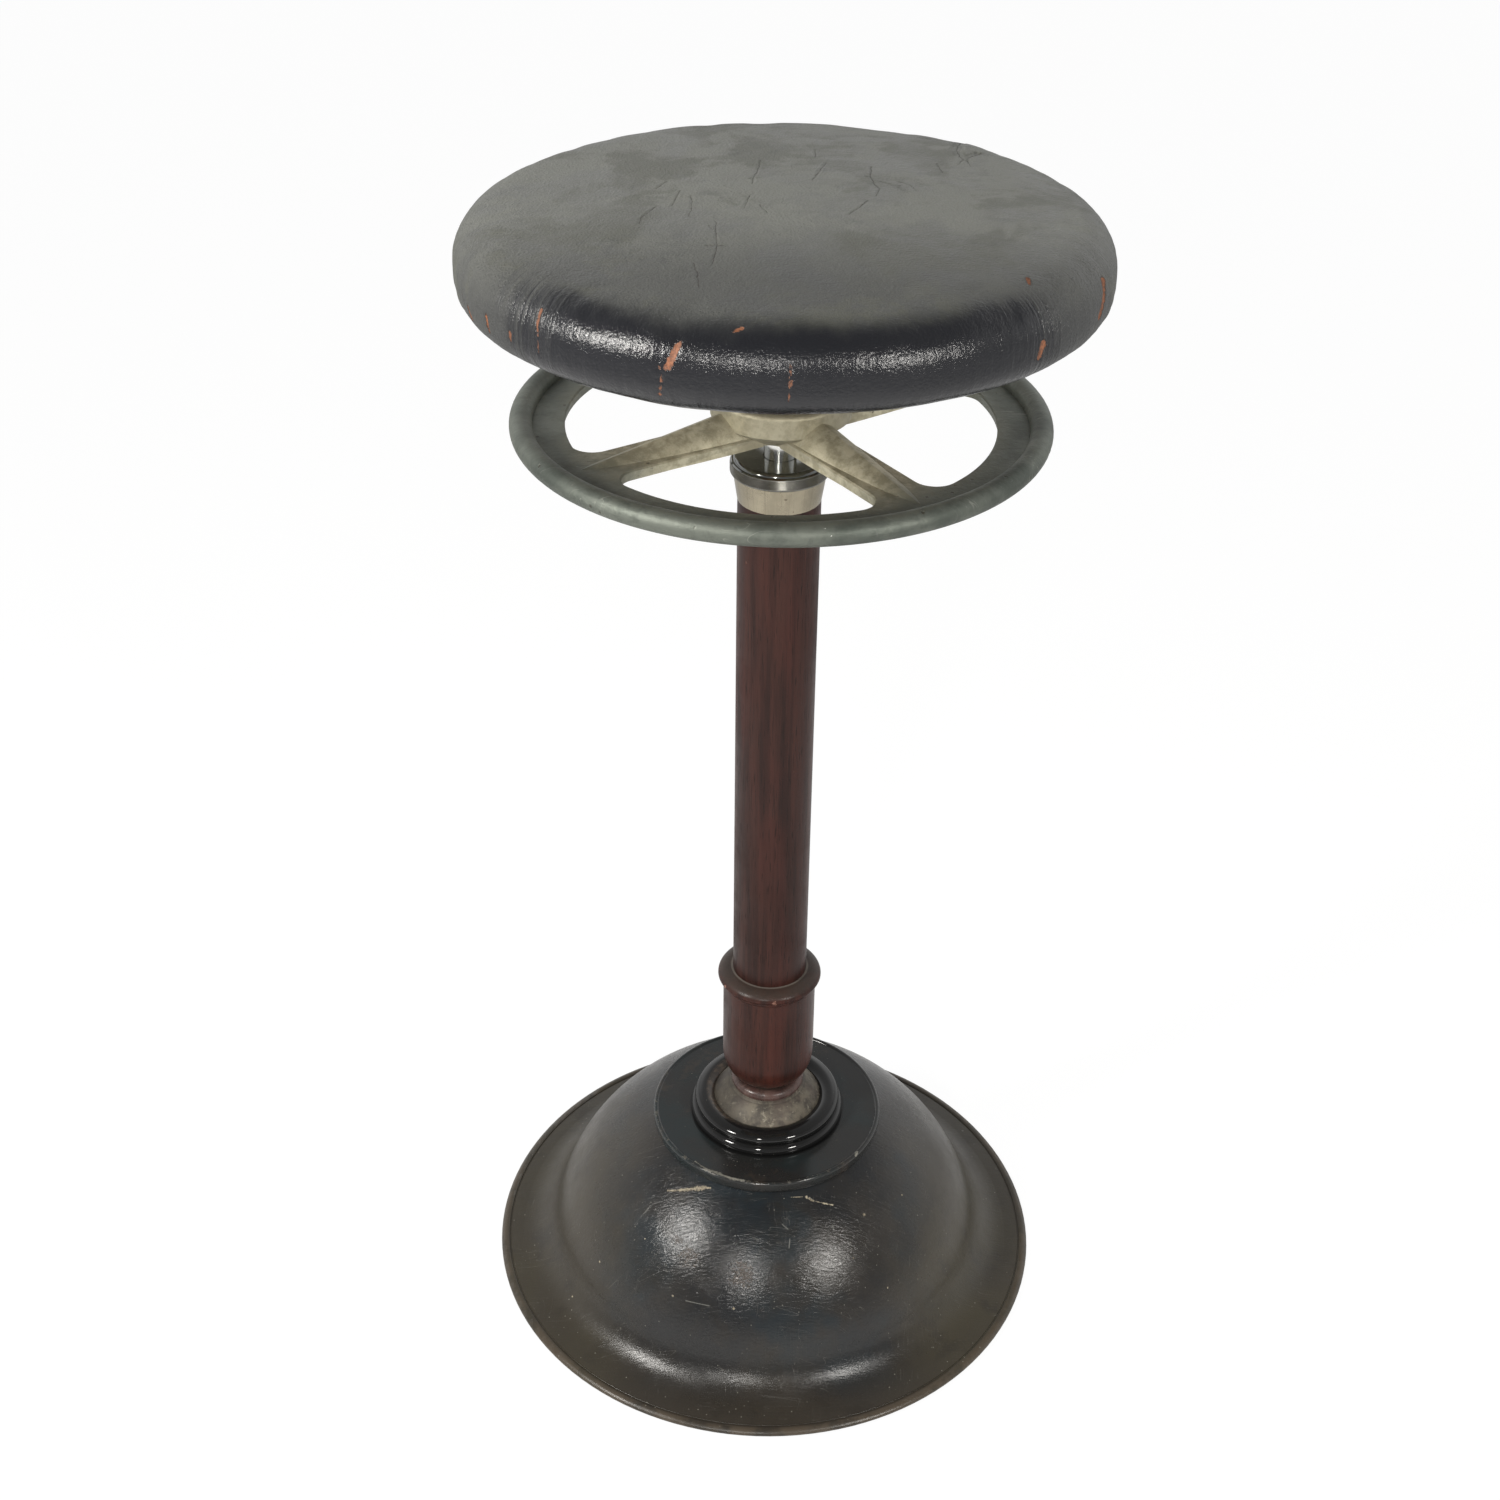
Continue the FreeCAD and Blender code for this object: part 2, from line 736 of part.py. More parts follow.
def ferrule():
    neck_top = ferrule_z + ferrule_neck_height
    return turned(
        at(tube_way, column_z),
        at(column_radius + ferrule_lip, column_z),
        at(ferrule_top_radius, ferrule_z),
        at(ferrule_neck_radius, ferrule_z),
        at(ferrule_neck_radius, neck_top),
        at(tube_way, neck_top))


def top_bush():
    low = tube_z - bush_length
    return turned(
        at(spindle_way, low),
        at(tube_bore - running_clearance, low),
        at(tube_bore - running_clearance, tube_z),
        at(tube_radius, tube_z),
        at(tube_radius, bush_z),
        at(spindle_way, bush_z))


def clamp_collet():
    collet = ring(spindle_way, tube_radius, bush_z, collet_z)
    slit = Part.makeBox(tube_radius + cut_overrun, collet_slit_width, collet_slit_depth + cut_overrun,
                        Vector(0, -collet_slit_width / 2, collet_z - collet_slit_depth))
    return collet.cut(Part.Compound(around(slit, collet_slit_count)))


def cap_nut():
    """Knurled cap that screws down over the collet, with a polished top."""
    foot = ferrule_z + cap_gap
    shoulder = cap_z - cap_shoulder
    way = ferrule_neck_radius + running_clearance
    bore = spindle_radius + cap_bore_gap
    body = turned(
        at(way, foot),
        at(cap_radius - cap_edge, foot),
        at(cap_radius, foot + cap_edge),
        at(cap_radius, shoulder - cap_edge),
        at(cap_radius - cap_edge, shoulder),
        arc(at(cap_radius - 2 * cap_edge, shoulder),
            at(cap_top_radius + cap_shoulder * 0.9, cap_z - cap_shoulder * 0.25),
            at(cap_top_radius, cap_z)),
        at(bore, cap_z),
        at(bore, collet_z + wiper_height),
        at(wiper_radius, collet_z + wiper_height),
        at(wiper_radius, collet_z),
        at(way, collet_z))
    return body.cut(Part.makeSphere(oil_ball_radius, oil_ball_centre()))


def oil_ball_centre():
    radius = cap_top_radius + cap_edge
    angle = math.radians(oil_ball_angle)
    return Vector(radius * math.cos(angle), radius * math.sin(angle), cap_z - cap_edge)


def oil_ball():
    return Part.makeSphere(oil_ball_radius - running_clearance, oil_ball_centre())


def wiper_ring():
    return ring(spindle_radius + soft_clearance, wiper_radius - soft_clearance,
                collet_z, collet_z + wiper_height - soft_clearance)


def spindle():
    body = rod(spindle_radius, spindle_foot_z, spindle_z)
    bore = rod(screw_radius + spindle_bore_gap, spindle_foot_z - cut_overrun,
               spindle_foot_z + spindle_bore_length)
    tapped = rod(retainer_screw_radius + running_clearance,
                 spindle_z - retainer_screw_length - running_clearance, spindle_z + cut_overrun)
    pin_way = cross_rod(wheel_pin_radius + running_clearance, spindle_radius + cut_overrun,
                        hub_z - wheel_pin_drop)
    return body.cut(Part.Compound([bore, tapped, pin_way] + nut_pin_ways(running_clearance)))


def nut_pin_ways(extra):
    height = spindle_foot_z + spindle_nut_socket / 2
    inner = screw_radius + spindle_bore_gap / 2
    pin = radial_rod(nut_pin_radius + extra, inner, spindle_nut_radius + extra, height, 90.0)
    return around(pin, 2)


def nut_pins():
    height = spindle_foot_z + spindle_nut_socket / 2
    inner = screw_radius + spindle_bore_gap * 2
    pin = radial_rod(nut_pin_radius, inner, spindle_nut_radius - nut_pin_radius / 4, height, 90.0)
    return Part.Compound(around(pin, 2))


def spindle_nut():
    """Bronze nut on the spindle's foot; it climbs the fixed screw."""
    groove_low = nut_hub_z + retaining_ring_rise
    groove_high = groove_low + retaining_ring_thickness
    groove = spindle_nut_hub_radius - retaining_groove_depth
    top = spindle_foot_z + spindle_nut_socket
    way = screw_radius + running_clearance
    nut = turned(
        at(way, nut_hub_z),
        at(spindle_nut_hub_radius, nut_hub_z),
        at(spindle_nut_hub_radius, groove_low),
        at(groove, groove_low),
        at(groove, groove_high),
        at(spindle_nut_hub_radius, groove_high),
        at(spindle_nut_hub_radius, nut_flange_z),
        at(spindle_nut_radius, nut_flange_z),
        at(spindle_nut_radius, top),
        at(spindle_way, top),
        at(spindle_way, spindle_foot_z),
        at(way, spindle_foot_z))
    return nut.cut(Part.Compound(nut_pin_ways(running_clearance)))


def retaining_ring():
    low = nut_hub_z + retaining_ring_rise
    inner = spindle_nut_hub_radius - retaining_groove_depth + running_clearance
    return ring(inner, retaining_ring_radius, low + running_clearance,
                low + retaining_ring_thickness - running_clearance)


def guide_collar():
    """Slides up the tube with the spindle, but is keyed so that it never turns."""
    collar = ring(spindle_nut_hub_radius + running_clearance, tube_bore - running_clearance,
                  guide_z, guide_top_z)
    return collar.cut(key_block(running_clearance))


def key_block(extra):
    inner = tube_bore - guide_key_root - extra
    return Part.makeBox(tube_bore + guide_key_depth - inner, guide_key_width + 2 * extra,
                        guide_key_height + 2 * extra,
                        Vector(inner, -guide_key_width / 2 - extra, guide_key_z - extra))


def guide_key():
    return key_block(0)


def gap_outline(shrink, height):
    """Outline of the opening between two spokes at a height, drawn in all round."""
    step = FULL_TURN / spoke_count
    half = math.radians(step / 2)
    middle = Vector(math.cos(half), math.sin(half), 0)
    half_width = spoke_half_width + shrink
    rim_circle = rim_hole_radius - shrink
    inner_fillet = spoke_inner_fillet - shrink
    outer_fillet = spoke_outer_fillet - shrink
    inner_offset = half_width + inner_fillet
    outer_offset = half_width + outer_fillet
    outer_reach = rim_circle - outer_fillet
    outer_centre = Vector(math.sqrt(outer_reach ** 2 - outer_offset ** 2), outer_offset, 0)
    edge_in = Vector(inner_offset / math.tan(half), half_width, 0)
    edge_out = Vector(outer_centre.x, half_width, 0)
    rim_point = outer_centre * (rim_circle / outer_reach)
    towards = (edge_out - outer_centre) + (rim_point - outer_centre)
    towards.normalize()
    mid_out = outer_centre + towards * outer_fillet

    def mirrored(point):
        """The same point against the next spoke."""
        flipped = Vector(point.x, -point.y, 0)
        return FreeCAD.Rotation(Vector(0, 0, 1), step).multVec(flipped)

    wire = Part.Wire([
        line(edge_in, edge_out),
        arc(edge_out, mid_out, rim_point),
        arc(rim_point, middle * rim_circle, mirrored(rim_point)),
        arc(mirrored(rim_point), mirrored(mid_out), mirrored(edge_out)),
        line(mirrored(edge_out), mirrored(edge_in)),
        arc(mirrored(edge_in), middle * (inner_offset / math.sin(half) - inner_fillet), edge_in)])
    wire.translate(Vector(0, 0, height))
    return wire


def spoke_gap():
    """The opening between two spokes: its walls lean in as they rise, then a chamfer."""
    lean = web_draft / web_thickness
    top = wheel_z + web_thickness
    low = gap_outline(-lean * cut_overrun, wheel_z - cut_overrun)
    high = gap_outline(web_draft + lean * cut_overrun, top + cut_overrun)
    edge_low = gap_outline(web_draft - web_edge - cut_overrun, top + cut_overrun)
    edge_high = gap_outline(web_draft + cut_overrun, top - web_edge - cut_overrun)
    gap = Part.makeLoft([low, high], True, True)
    chamfer = Part.makeLoft([edge_high, edge_low], True, True)
    return gap.fuse(chamfer)


def wheel_rim():
    centre = at(wheel_radius - rim_bead_radius, wheel_z + rim_bead_centre_rise)
    ring_section = Part.makeTorus(centre.x, rim_bead_radius, Vector(0, 0, centre.z))
    return ring_section


def spoke_rib():
    """Ridged rib on a spoke: tall at the hub, running out to a point on the rim's flat."""
    depth = math.sqrt(rib_flank_radius ** 2 - rib_flank_offset ** 2)
    run = at(rib_tip_circle - rib_root_circle, web_thickness - rib_crest_rise)
    flanks = []
    for side in (-rib_flank_offset, rib_flank_offset):
        root = Vector(rib_root_circle, side, wheel_z + rib_crest_rise - depth)
        flanks.append(Part.makeCylinder(rib_flank_radius, run.Length, root, run))
    keep = rod(wheel_radius, wheel_z, hub_z)
    return flanks[0].common(flanks[1]).common(keep)


def hub():
    way = spindle_way
    drum_z = wheel_z + hub_drum_rise
    edge = at(hub_drum_radius - hub_drum_edge, drum_z - hub_drum_edge)
    corner = at(hub_neck_radius + hub_neck_fillet, drum_z + hub_neck_fillet)
    return turned(
        at(way, wheel_z),
        at(hub_foot_radius, wheel_z),
        at(hub_drum_radius, wheel_z + hub_flare_rise),
        round_arc(edge, hub_drum_edge, 0, 90),
        round_arc(corner, hub_neck_fillet, 270, 180),
        at(hub_neck_radius, hub_z),
        at(way, hub_z))


def handwheel():
    """Cast wheel: beaded rim, four ribbed spokes and a tall hub, with its bore and pin hole."""
    plate = rod(wheel_radius - rim_bead_radius, wheel_z, wheel_z + web_thickness)
    plate = plate.cut(Part.Compound(around(spoke_gap(), spoke_count, spoke_angle)))
    centre_hole = rod(hub_foot_radius - cut_overrun, wheel_z - cut_overrun, wheel_z + web_thickness + cut_overrun)
    plate = plate.cut(centre_hole)
    ribs = [placed(r, spoke_angle) for r in around(spoke_rib(), spoke_count)]
    wheel = plate.fuse([wheel_rim(), hub()] + ribs)
    bore = rod(spindle_way, wheel_z - cut_overrun, hub_z + cut_overrun)
    pin_way = cross_rod(wheel_pin_radius + running_clearance, wheel_radius, hub_z - wheel_pin_drop)
    return wheel.cut(Part.Compound([bore, pin_way])).removeSplitter()


def wheel_pin():
    half = math.sqrt(hub_neck_radius ** 2 - wheel_pin_radius ** 2)
    return cross_rod(wheel_pin_radius, half, hub_z - wheel_pin_drop)


def thrust_washer():
    return ring(spindle_way, thrust_washer_radius, hub_z, seat_boss_z)


def retainer_washer():
    return ring(retainer_screw_radius + running_clearance, retainer_washer_radius,
                spindle_z, spindle_z + retainer_washer_thickness)


def retainer_screw():
    under = spindle_z + retainer_washer_thickness
    top = under + retainer_head_height
    head = rod(retainer_head_radius, under, top)
    slot = Part.makeBox(retainer_head_radius * 2 + cut_overrun, retainer_slot_width,
                        retainer_slot_depth + cut_overrun,
                        Vector(-retainer_head_radius - cut_overrun / 2, -retainer_slot_width / 2,
                               top - retainer_slot_depth))
    shank = rod(retainer_screw_radius, spindle_z - retainer_screw_length, under)
    return head.cut(slot).fuse(shank).removeSplitter()


def seat_plate():
    boss_join = seat_plate_z - seat_boss_fillet
    plate = turned(
        at(spindle_way, seat_boss_z),
        at(seat_boss_radius, seat_boss_z),
        at(seat_boss_radius, boss_join),
        arc(at(seat_boss_radius, boss_join),
            at(seat_boss_radius + seat_boss_fillet * (1 - math.sqrt(0.5)),
               seat_plate_z - seat_boss_fillet * (1 - math.sqrt(0.5))),
            at(seat_boss_radius + seat_boss_fillet, seat_plate_z)),
        at(seat_plate_radius, seat_plate_z),
        at(seat_plate_radius, board_z),
        at(seat_recess_radius, board_z),
        at(seat_recess_radius, seat_plate_z),
        at(spindle_way, seat_plate_z))
    return plate.cut(Part.Compound(around(seat_screw(running_clearance), seat_screw_count)))


def seat_screw(extra):
    """Countersunk wood screw, head down, from the plate up into the board."""
    head = Part.makeCone(seat_screw_head + extra, seat_screw_radius + extra, seat_screw_head_depth,
                         Vector(seat_screw_circle, 0, seat_plate_z))
    shank = Part.makeCylinder(seat_screw_radius + extra, seat_screw_length - seat_screw_head_depth + extra,
                              Vector(seat_screw_circle, 0, seat_plate_z + seat_screw_head_depth))
    return head.fuse(shank).removeSplitter()


def seat_screws():
    return Part.Compound(around(seat_screw(0), seat_screw_count))


def seat_board():
    board = rod(board_radius, board_z, board_z + board_thickness)
    screw_ways = around(seat_screw(running_clearance), seat_screw_count)
    return board.cut(Part.Compound(screw_ways + tack_ways()))


def seat_outline(shrink):
    """Outer edge of the cushion, drawn in by a thickness: lower round, side, upper round, crown."""
    foot_centre = at(seat_radius - seat_side_foot, seat_z + seat_side_foot)
    top_centre = at(seat_radius - seat_side_top, seat_z + seat_side_height - seat_side_top)
    foot_round = round_arc(foot_centre, seat_side_foot - shrink, -90, 0)
    top_round = round_arc(top_centre, seat_side_top - shrink, 0, 90 - seat_crown_deg)
    edge = top_round.lastVertex(True).Point
    rise = edge.x * math.tan(math.radians(seat_crown_deg / 2))
    crown_radius = edge.x / math.sin(math.radians(seat_crown_deg))
    middle_turn = math.radians(seat_crown_deg / 2)
    centre_z = edge.z + rise - crown_radius
    middle = at(crown_radius * math.sin(middle_turn), centre_z + crown_radius * math.cos(middle_turn))
    crown = arc(edge, middle, at(0, edge.z + rise))
    return foot_round, top_round, crown


def seat_cover():
    """Leather: a crowned top, rounded sides, and the edge turned under the board."""
    foot_round, top_round, crown = seat_outline(0)
    inner_foot, inner_top, inner_crown = seat_outline(cover_thickness)
    hem = board_radius - cover_turn_under
    skin = turned(at(hem, seat_z), foot_round, top_round, crown, at(0, seat_z - cut_overrun))
    filling = turned(at(0, board_z), at(hem, board_z), inner_foot, inner_top, inner_crown)
    opening = rod(hem, seat_z - 2 * cut_overrun, board_z + cut_overrun)
    return skin.cut(filling.fuse(opening)).cut(Part.Compound(tack_ways()))


def seat_pad():
    """Stuffing between the board and the leather, rolled over the board's edge."""
    inner_foot, inner_top, inner_crown = seat_outline(cover_thickness + soft_clearance)
    floor_z = board_z + soft_clearance
    pad = turned(at(0, floor_z), at(board_radius, floor_z), inner_foot, inner_top, inner_crown)
    board = rod(board_radius + soft_clearance, seat_z, board_z + board_thickness + soft_clearance)
    return pad.cut(board)


def tack_ways():
    """Holes that the tacks' shanks make in the leather and the board."""
    hole = Part.makeCylinder(tack_shank_radius + running_clearance,
                             tack_length + running_clearance + cut_overrun,
                             Vector(board_radius - tack_inset, 0, seat_z - cut_overrun))
    return around(hole, tack_count)


def cover_tacks():
    """Domed tacks that pin the turned-under leather to the board."""
    circle = board_radius - tack_inset
    head_radius = (tack_head_radius ** 2 + tack_head_height ** 2) / (2 * tack_head_height)
    ball = Part.makeSphere(head_radius, Vector(circle, 0, seat_z - tack_head_height + head_radius))
    block = Part.makeCylinder(tack_head_radius, tack_head_height, Vector(circle, 0, seat_z - tack_head_height))
    shank = Part.makeCylinder(tack_shank_radius, tack_length, Vector(circle, 0, seat_z))
    tack = ball.common(block).fuse(shank).removeSplitter()
    return Part.Compound(around(tack, tack_count))


PIECES = [
    base_bell, floor_ring, socket_flange, socket_cup, socket_bolts, bolt_washers,
    level_washer,
    ball_foot, neck_ring, draw_bolt, centring_spring, spring_plate, nut_washer, draw_nut, cotter_pin,
    sleeve, column, steel_tube, fixed_screw, foot_pin, ferrule, top_bush, clamp_collet,
    cap_nut, oil_ball, wiper_ring,
    guide_collar, guide_key,
    spindle, spindle_nut, nut_pins, retaining_ring, handwheel, wheel_pin, thrust_washer,
    retainer_washer, retainer_screw,
    seat_plate, seat_screws, seat_board, seat_pad, seat_cover, cover_tacks,
]


os.makedirs("parts", exist_ok=True)
for piece in PIECES:
    shape = piece()
    print("%-16s %2d solids  volume %10.1f mm3  valid %s"
          % (piece.__name__, len(shape.Solids), shape.Volume, shape.isValid()))
    shape.exportStep("parts/%s.step" % piece.__name__)
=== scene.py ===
"""Looks of the dental operating stool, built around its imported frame."""

import json
import math

import bmesh
import bpy
import numpy as np
from mathutils import Matrix, Vector, noise


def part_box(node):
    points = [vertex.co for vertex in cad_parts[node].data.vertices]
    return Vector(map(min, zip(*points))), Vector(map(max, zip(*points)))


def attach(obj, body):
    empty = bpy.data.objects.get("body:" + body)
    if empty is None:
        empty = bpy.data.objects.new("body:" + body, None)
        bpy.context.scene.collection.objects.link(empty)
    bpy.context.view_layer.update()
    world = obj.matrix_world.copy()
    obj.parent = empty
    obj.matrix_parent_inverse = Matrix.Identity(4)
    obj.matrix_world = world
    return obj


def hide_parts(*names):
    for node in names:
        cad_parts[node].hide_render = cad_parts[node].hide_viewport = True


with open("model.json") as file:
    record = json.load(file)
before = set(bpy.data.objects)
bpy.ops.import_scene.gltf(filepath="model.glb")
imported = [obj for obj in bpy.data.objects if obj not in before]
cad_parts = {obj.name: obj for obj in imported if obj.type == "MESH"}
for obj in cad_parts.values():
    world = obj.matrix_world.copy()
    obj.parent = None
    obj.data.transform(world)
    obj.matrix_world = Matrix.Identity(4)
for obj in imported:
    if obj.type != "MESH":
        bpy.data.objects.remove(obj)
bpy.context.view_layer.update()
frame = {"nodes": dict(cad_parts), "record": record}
nodes = frame["nodes"]
slots = {part["node"]: part["material_slot"] for part in frame["record"]["subparts"]}


# Node trees and materials

class Nodes:
    """A node tree. Its helpers add nodes and give back their outputs."""

    def __init__(self, tree):
        self.tree = tree

    def add(self, kind, inputs=None, **settings):
        """A new node with its settings, and with its inputs by name or number."""
        node = self.tree.nodes.new("ShaderNode" + kind)
        for name, value in settings.items():
            setattr(node, name, value)
        for socket, value in (inputs or {}).items():
            self.feed(node.inputs[socket], value)
        return node

    def feed(self, socket, value):
        if isinstance(value, bpy.types.NodeSocket):
            self.tree.links.new(value, socket)
        elif socket.type == "RGBA":
            socket.default_value = (*value, 1)
        else:
            socket.default_value = value

    def maths(self, operation, a, b=0.0, clamp=False):
        return self.add("Math", {0: a, 1: b}, operation=operation, use_clamp=clamp).outputs[0]

    def times(self, first, *others):
        for value in others:
            first = self.maths("MULTIPLY", first, value)
        return first

    def total(self, *terms):
        """Sum of (weight, value) pairs."""
        result = 0.0
        for weight, value in terms:
            result = self.maths("ADD", result, self.times(value, weight))
        return result

    def inverse(self, value):
        """What is missing to 1."""
        return self.maths("SUBTRACT", 1.0, value)

    def centred(self, value):
        """A noise shifted so that it runs about zero."""
        return self.maths("SUBTRACT", value, 0.5)

    def step(self, value, low, high):
        """0 up to the low value, 1 from the high one on, and smooth between them."""
        inputs = {"Value": value, "From Min": low, "From Max": high}
        return self.add("MapRange", inputs, interpolation_type="SMOOTHSTEP").outputs["Result"]

    def blend(self, factor, a, b):
        return self.add("Mix", {0: factor, 2: a, 3: b}).outputs[0]

    def mix(self, factor, a, b):
        """A blend of two colours."""
        return self.add("Mix", {0: factor, 6: a, 7: b}, data_type="RGBA").outputs[2]

    def parts(self, vector):
        return self.add("SeparateXYZ", {0: vector}).outputs

    def show(self, output, factor, a, b):
        """Sends a mix of two shader nodes to the tree's output node."""
        both = self.add("MixShader", {0: factor, 1: a.outputs[0], 2: b.outputs[0]})
        self.feed(self.tree.nodes[output].inputs["Surface"], both.outputs[0])


class Look(Nodes):
    """One procedural material, painted coat by coat. Places are in metres in the piece's own axes."""

    def __init__(self, name, **fixed):
        self.material = bpy.data.materials.new(name)
        self.material.use_nodes = True
        super().__init__(self.material.node_tree)
        self.shader = self.tree.nodes["Principled BSDF"]
        for socket, value in fixed.items():
            self.put(socket.replace("_", " "), value)
        self.place = self.add("TexCoord").outputs["Object"]
        self.x, self.y, self.z = self.parts(self.place)
        squares = self.maths("ADD", self.times(self.x, self.x), self.times(self.y, self.y))
        self.radius = self.maths("SQRT", squares)
        self.colour = None

    def put(self, socket, value):
        self.feed(self.shader.inputs[socket], value)

    def paint(self, tint, where, strength=1.0):
        """Lays a tint over the colour so far."""
        self.colour = self.mix(self.times(where, strength), self.colour, tint)

    def finish(self, roughness, height_mm=None):
        """Sets the colour, the roughness and the relief, and gives back the material."""
        self.put("Base Color", self.colour)
        self.put("Roughness", roughness)
        if height_mm is not None:
            bump = self.add("Bump", {"Strength": 1.0, "Distance": 0.001, "Height": height_mm})
            self.put("Normal", bump.outputs["Normal"])
        return self.material

    def attribute(self, name):
        return self.add("Attribute", attribute_name=name).outputs["Fac"]

    def vector(self, operation, a, b, output="Vector"):
        return self.add("VectorMath", {0: a, 1: b}, operation=operation).outputs[output]

    def point(self, x, y, z):
        return self.add("CombineXYZ", {0: x, 1: y, 2: z}).outputs[0]

    def stretched(self, x, y, z):
        """The place, scaled by its own amount along each axis."""
        return self.vector("MULTIPLY", self.place, (x, y, z))

    def turned(self, degrees, scale):
        """The place, turned about the three axes and scaled along them."""
        turn = [math.radians(a) for a in degrees]
        return self.add("Mapping", {"Vector": self.place, "Rotation": turn, "Scale": scale}).outputs[0]

    def round_about(self, around, along):
        """A place that runs round the axis without a seam, for streaks that point along it."""
        share = self.maths("DIVIDE", around, self.radius)
        return self.point(self.times(self.x, share), self.times(self.y, share), self.times(self.z, along))

    def noise(self, scale, detail=2.0, rough=0.5, place=None, distortion=0.0):
        inputs = {"Vector": place or self.place, "Scale": scale, "Detail": detail,
                  "Roughness": rough, "Distortion": distortion}
        return self.add("TexNoise", inputs).outputs[0]

    def patches(self, scale, detail, rough, low, high, **settings):
        """Patches with soft borders, cut from a noise."""
        return self.step(self.noise(scale, detail, rough, **settings), low, high)

    def cells(self, scale, feature="F1", place=None):
        inputs = {"Vector": place or self.place, "Scale": scale}
        return self.add("TexVoronoi", inputs, feature=feature).outputs["Distance"]

    def lines(self, place, width, from_share, to_share, mask_scale):
        """Thin broken lines along the level curves of a stretched noise."""
        near = self.maths("ABSOLUTE", self.centred(self.noise(1.0, 0.0, place=place)))
        mask = self.step(self.noise(mask_scale), from_share, to_share)
        return self.times(self.inverse(self.step(near, 0.0, width)), mask)

    def specks(self, scale, size, from_share, to_share):
        """Small scattered dots."""
        dot = self.inverse(self.step(self.cells(scale), size * 0.6, size))
        return self.times(dot, self.step(self.noise(scale * 0.31, 1.0), from_share, to_share))

    def spots(self, places, ragged):
        """Marks at given places: each is (x, y, z, reach), in millimetres."""
        shake = self.times(self.centred(self.noise(420.0, 3.0, 0.7)), 4 * ragged)
        result = 0.0
        for x, y, z, reach in places:
            near = self.vector("DISTANCE", self.place, Vector((x, y, z)) / 1000, "Value")
            near = self.maths("ADD", self.maths("DIVIDE", near, reach / 1000), shake)
            result = self.maths("MAXIMUM", result, self.inverse(self.step(near, 0.75, 1.0)))
        return result

    def strokes(self, paths, ragged):
        """Thin marks along given paths: each is (half width, points), in millimetres."""
        shake = self.times(self.centred(self.noise(900.0, 3.0, 0.7)), 4 * ragged)
        result = 0.0
        for width, points in paths:
            for start, end in zip(points[:-1], points[1:]):
                a, b = Vector(start) / 1000, Vector(end) / 1000
                way = (b - a).normalized()
                off = self.vector("SUBTRACT", self.place, a)
                along = self.vector("DOT_PRODUCT", off, way, "Value")
                along = self.add("Clamp", {"Value": along, "Max": (b - a).length}).outputs[0]
                reach = self.add("VectorMath", {0: way, "Scale": along}, operation="SCALE").outputs[0]
                near = self.vector("DISTANCE", off, reach, "Value")
                near = self.maths("ADD", self.maths("DIVIDE", near, width / 1000), shake)
                result = self.maths("MAXIMUM", result, self.inverse(self.step(near, 0.6, 1.1)))
        return result


# Marks that the photo shows on the bell and the flange: (half width, points), in millimetres
BELL_CHIPS = [
    (0.7, [(-65.6, -68.6, 100.5), (-57.3, -70.6, 103)]), (1.1, [(-57.3, -70.6, 103), (-49.1, -71.7, 105.5)]),
    (1.6, [(-47, -71.7, 106), (-41, -72.2, 107.5)]), (0.7, [(-41, -72.2, 107.5), (-36.9, -73.2, 108.3)]),
    (0.3, [(16.9, -79.9, 108), (27.7, -78.6, 108)]), (0.9, [(27.7, -78.6, 108), (32.4, -80.2, 106)]),
    (0.4, [(32.4, -80.2, 106), (39.2, -80.4, 104)]), (0.6, [(39.2, -80.4, 104), (45.5, -79.9, 102)]),
]
BELL_SCRATCHES = [
    (0.35, [(-88, -80.3, 79), (-77.6, -74.1, 91)]), (0.35, [(-51, -126, 57), (-34.7, -131, 58)]),
    (0.4, [(45.6, -90.8, 95), (46.5, -93.3, 93)]), (0.4, [(17.4, -102.5, 94), (16.8, -107.5, 89)]),
    (0.35, [(-9.2, -102.4, 94), (-3.2, -104.3, 93)]), (0.4, [(11.9, -95.6, 99), (15.9, -98, 97)]),
    (0.9, [(126, 48, 60), (139, 72, 30), (151, 96, 6.5)]), (0.35, [(60, -132, 40), (92, -121, 38)]),
]
FLANGE_CHIPS = [
    (0.8, [(-47.7, -58.3, 118.4), (-42.7, -63.2, 118.6), (-38.5, -66.6, 118.6)]),
    (1.5, [(-40, -65.8, 118.6), (-30.4, -69.6, 118.6)]),
    (0.9, [(-30.4, -70.6, 118.6), (-22.2, -74.0, 118.6), (-14.1, -75.9, 118.6)]),
    (1.3, [(61.4, -48.6, 118.1), (61.8, -47.0, 118.1)]),
]
# Dots on the bell, and worn places at the lamps' highlights that also carry a painted highlight tint: (x, y,
# z, reach), in millimetres
BELL_DOTS = [
    (67, -79.5, 93, 1.1), (-112, -85, 48, 0.9), (-80, -90.7, 77, 0.6), (-60, -122, 57, 0.8),
    (60, -104.4, 78, 0.6), (-19, -133.5, 59, 0.9), (84, -108.5, 55, 0.7), (94, -56, 89, 0.7),
    (-132, -86, 14, 0.7), (-9, -102, 94, 0.6),
]
BELL_RUBS_AND_HIGHLIGHTS = [(-57.4, -98.4, 85, 3.4), (-49, -106, 78, 6.5), (-14, -120, 77, 8.0)]


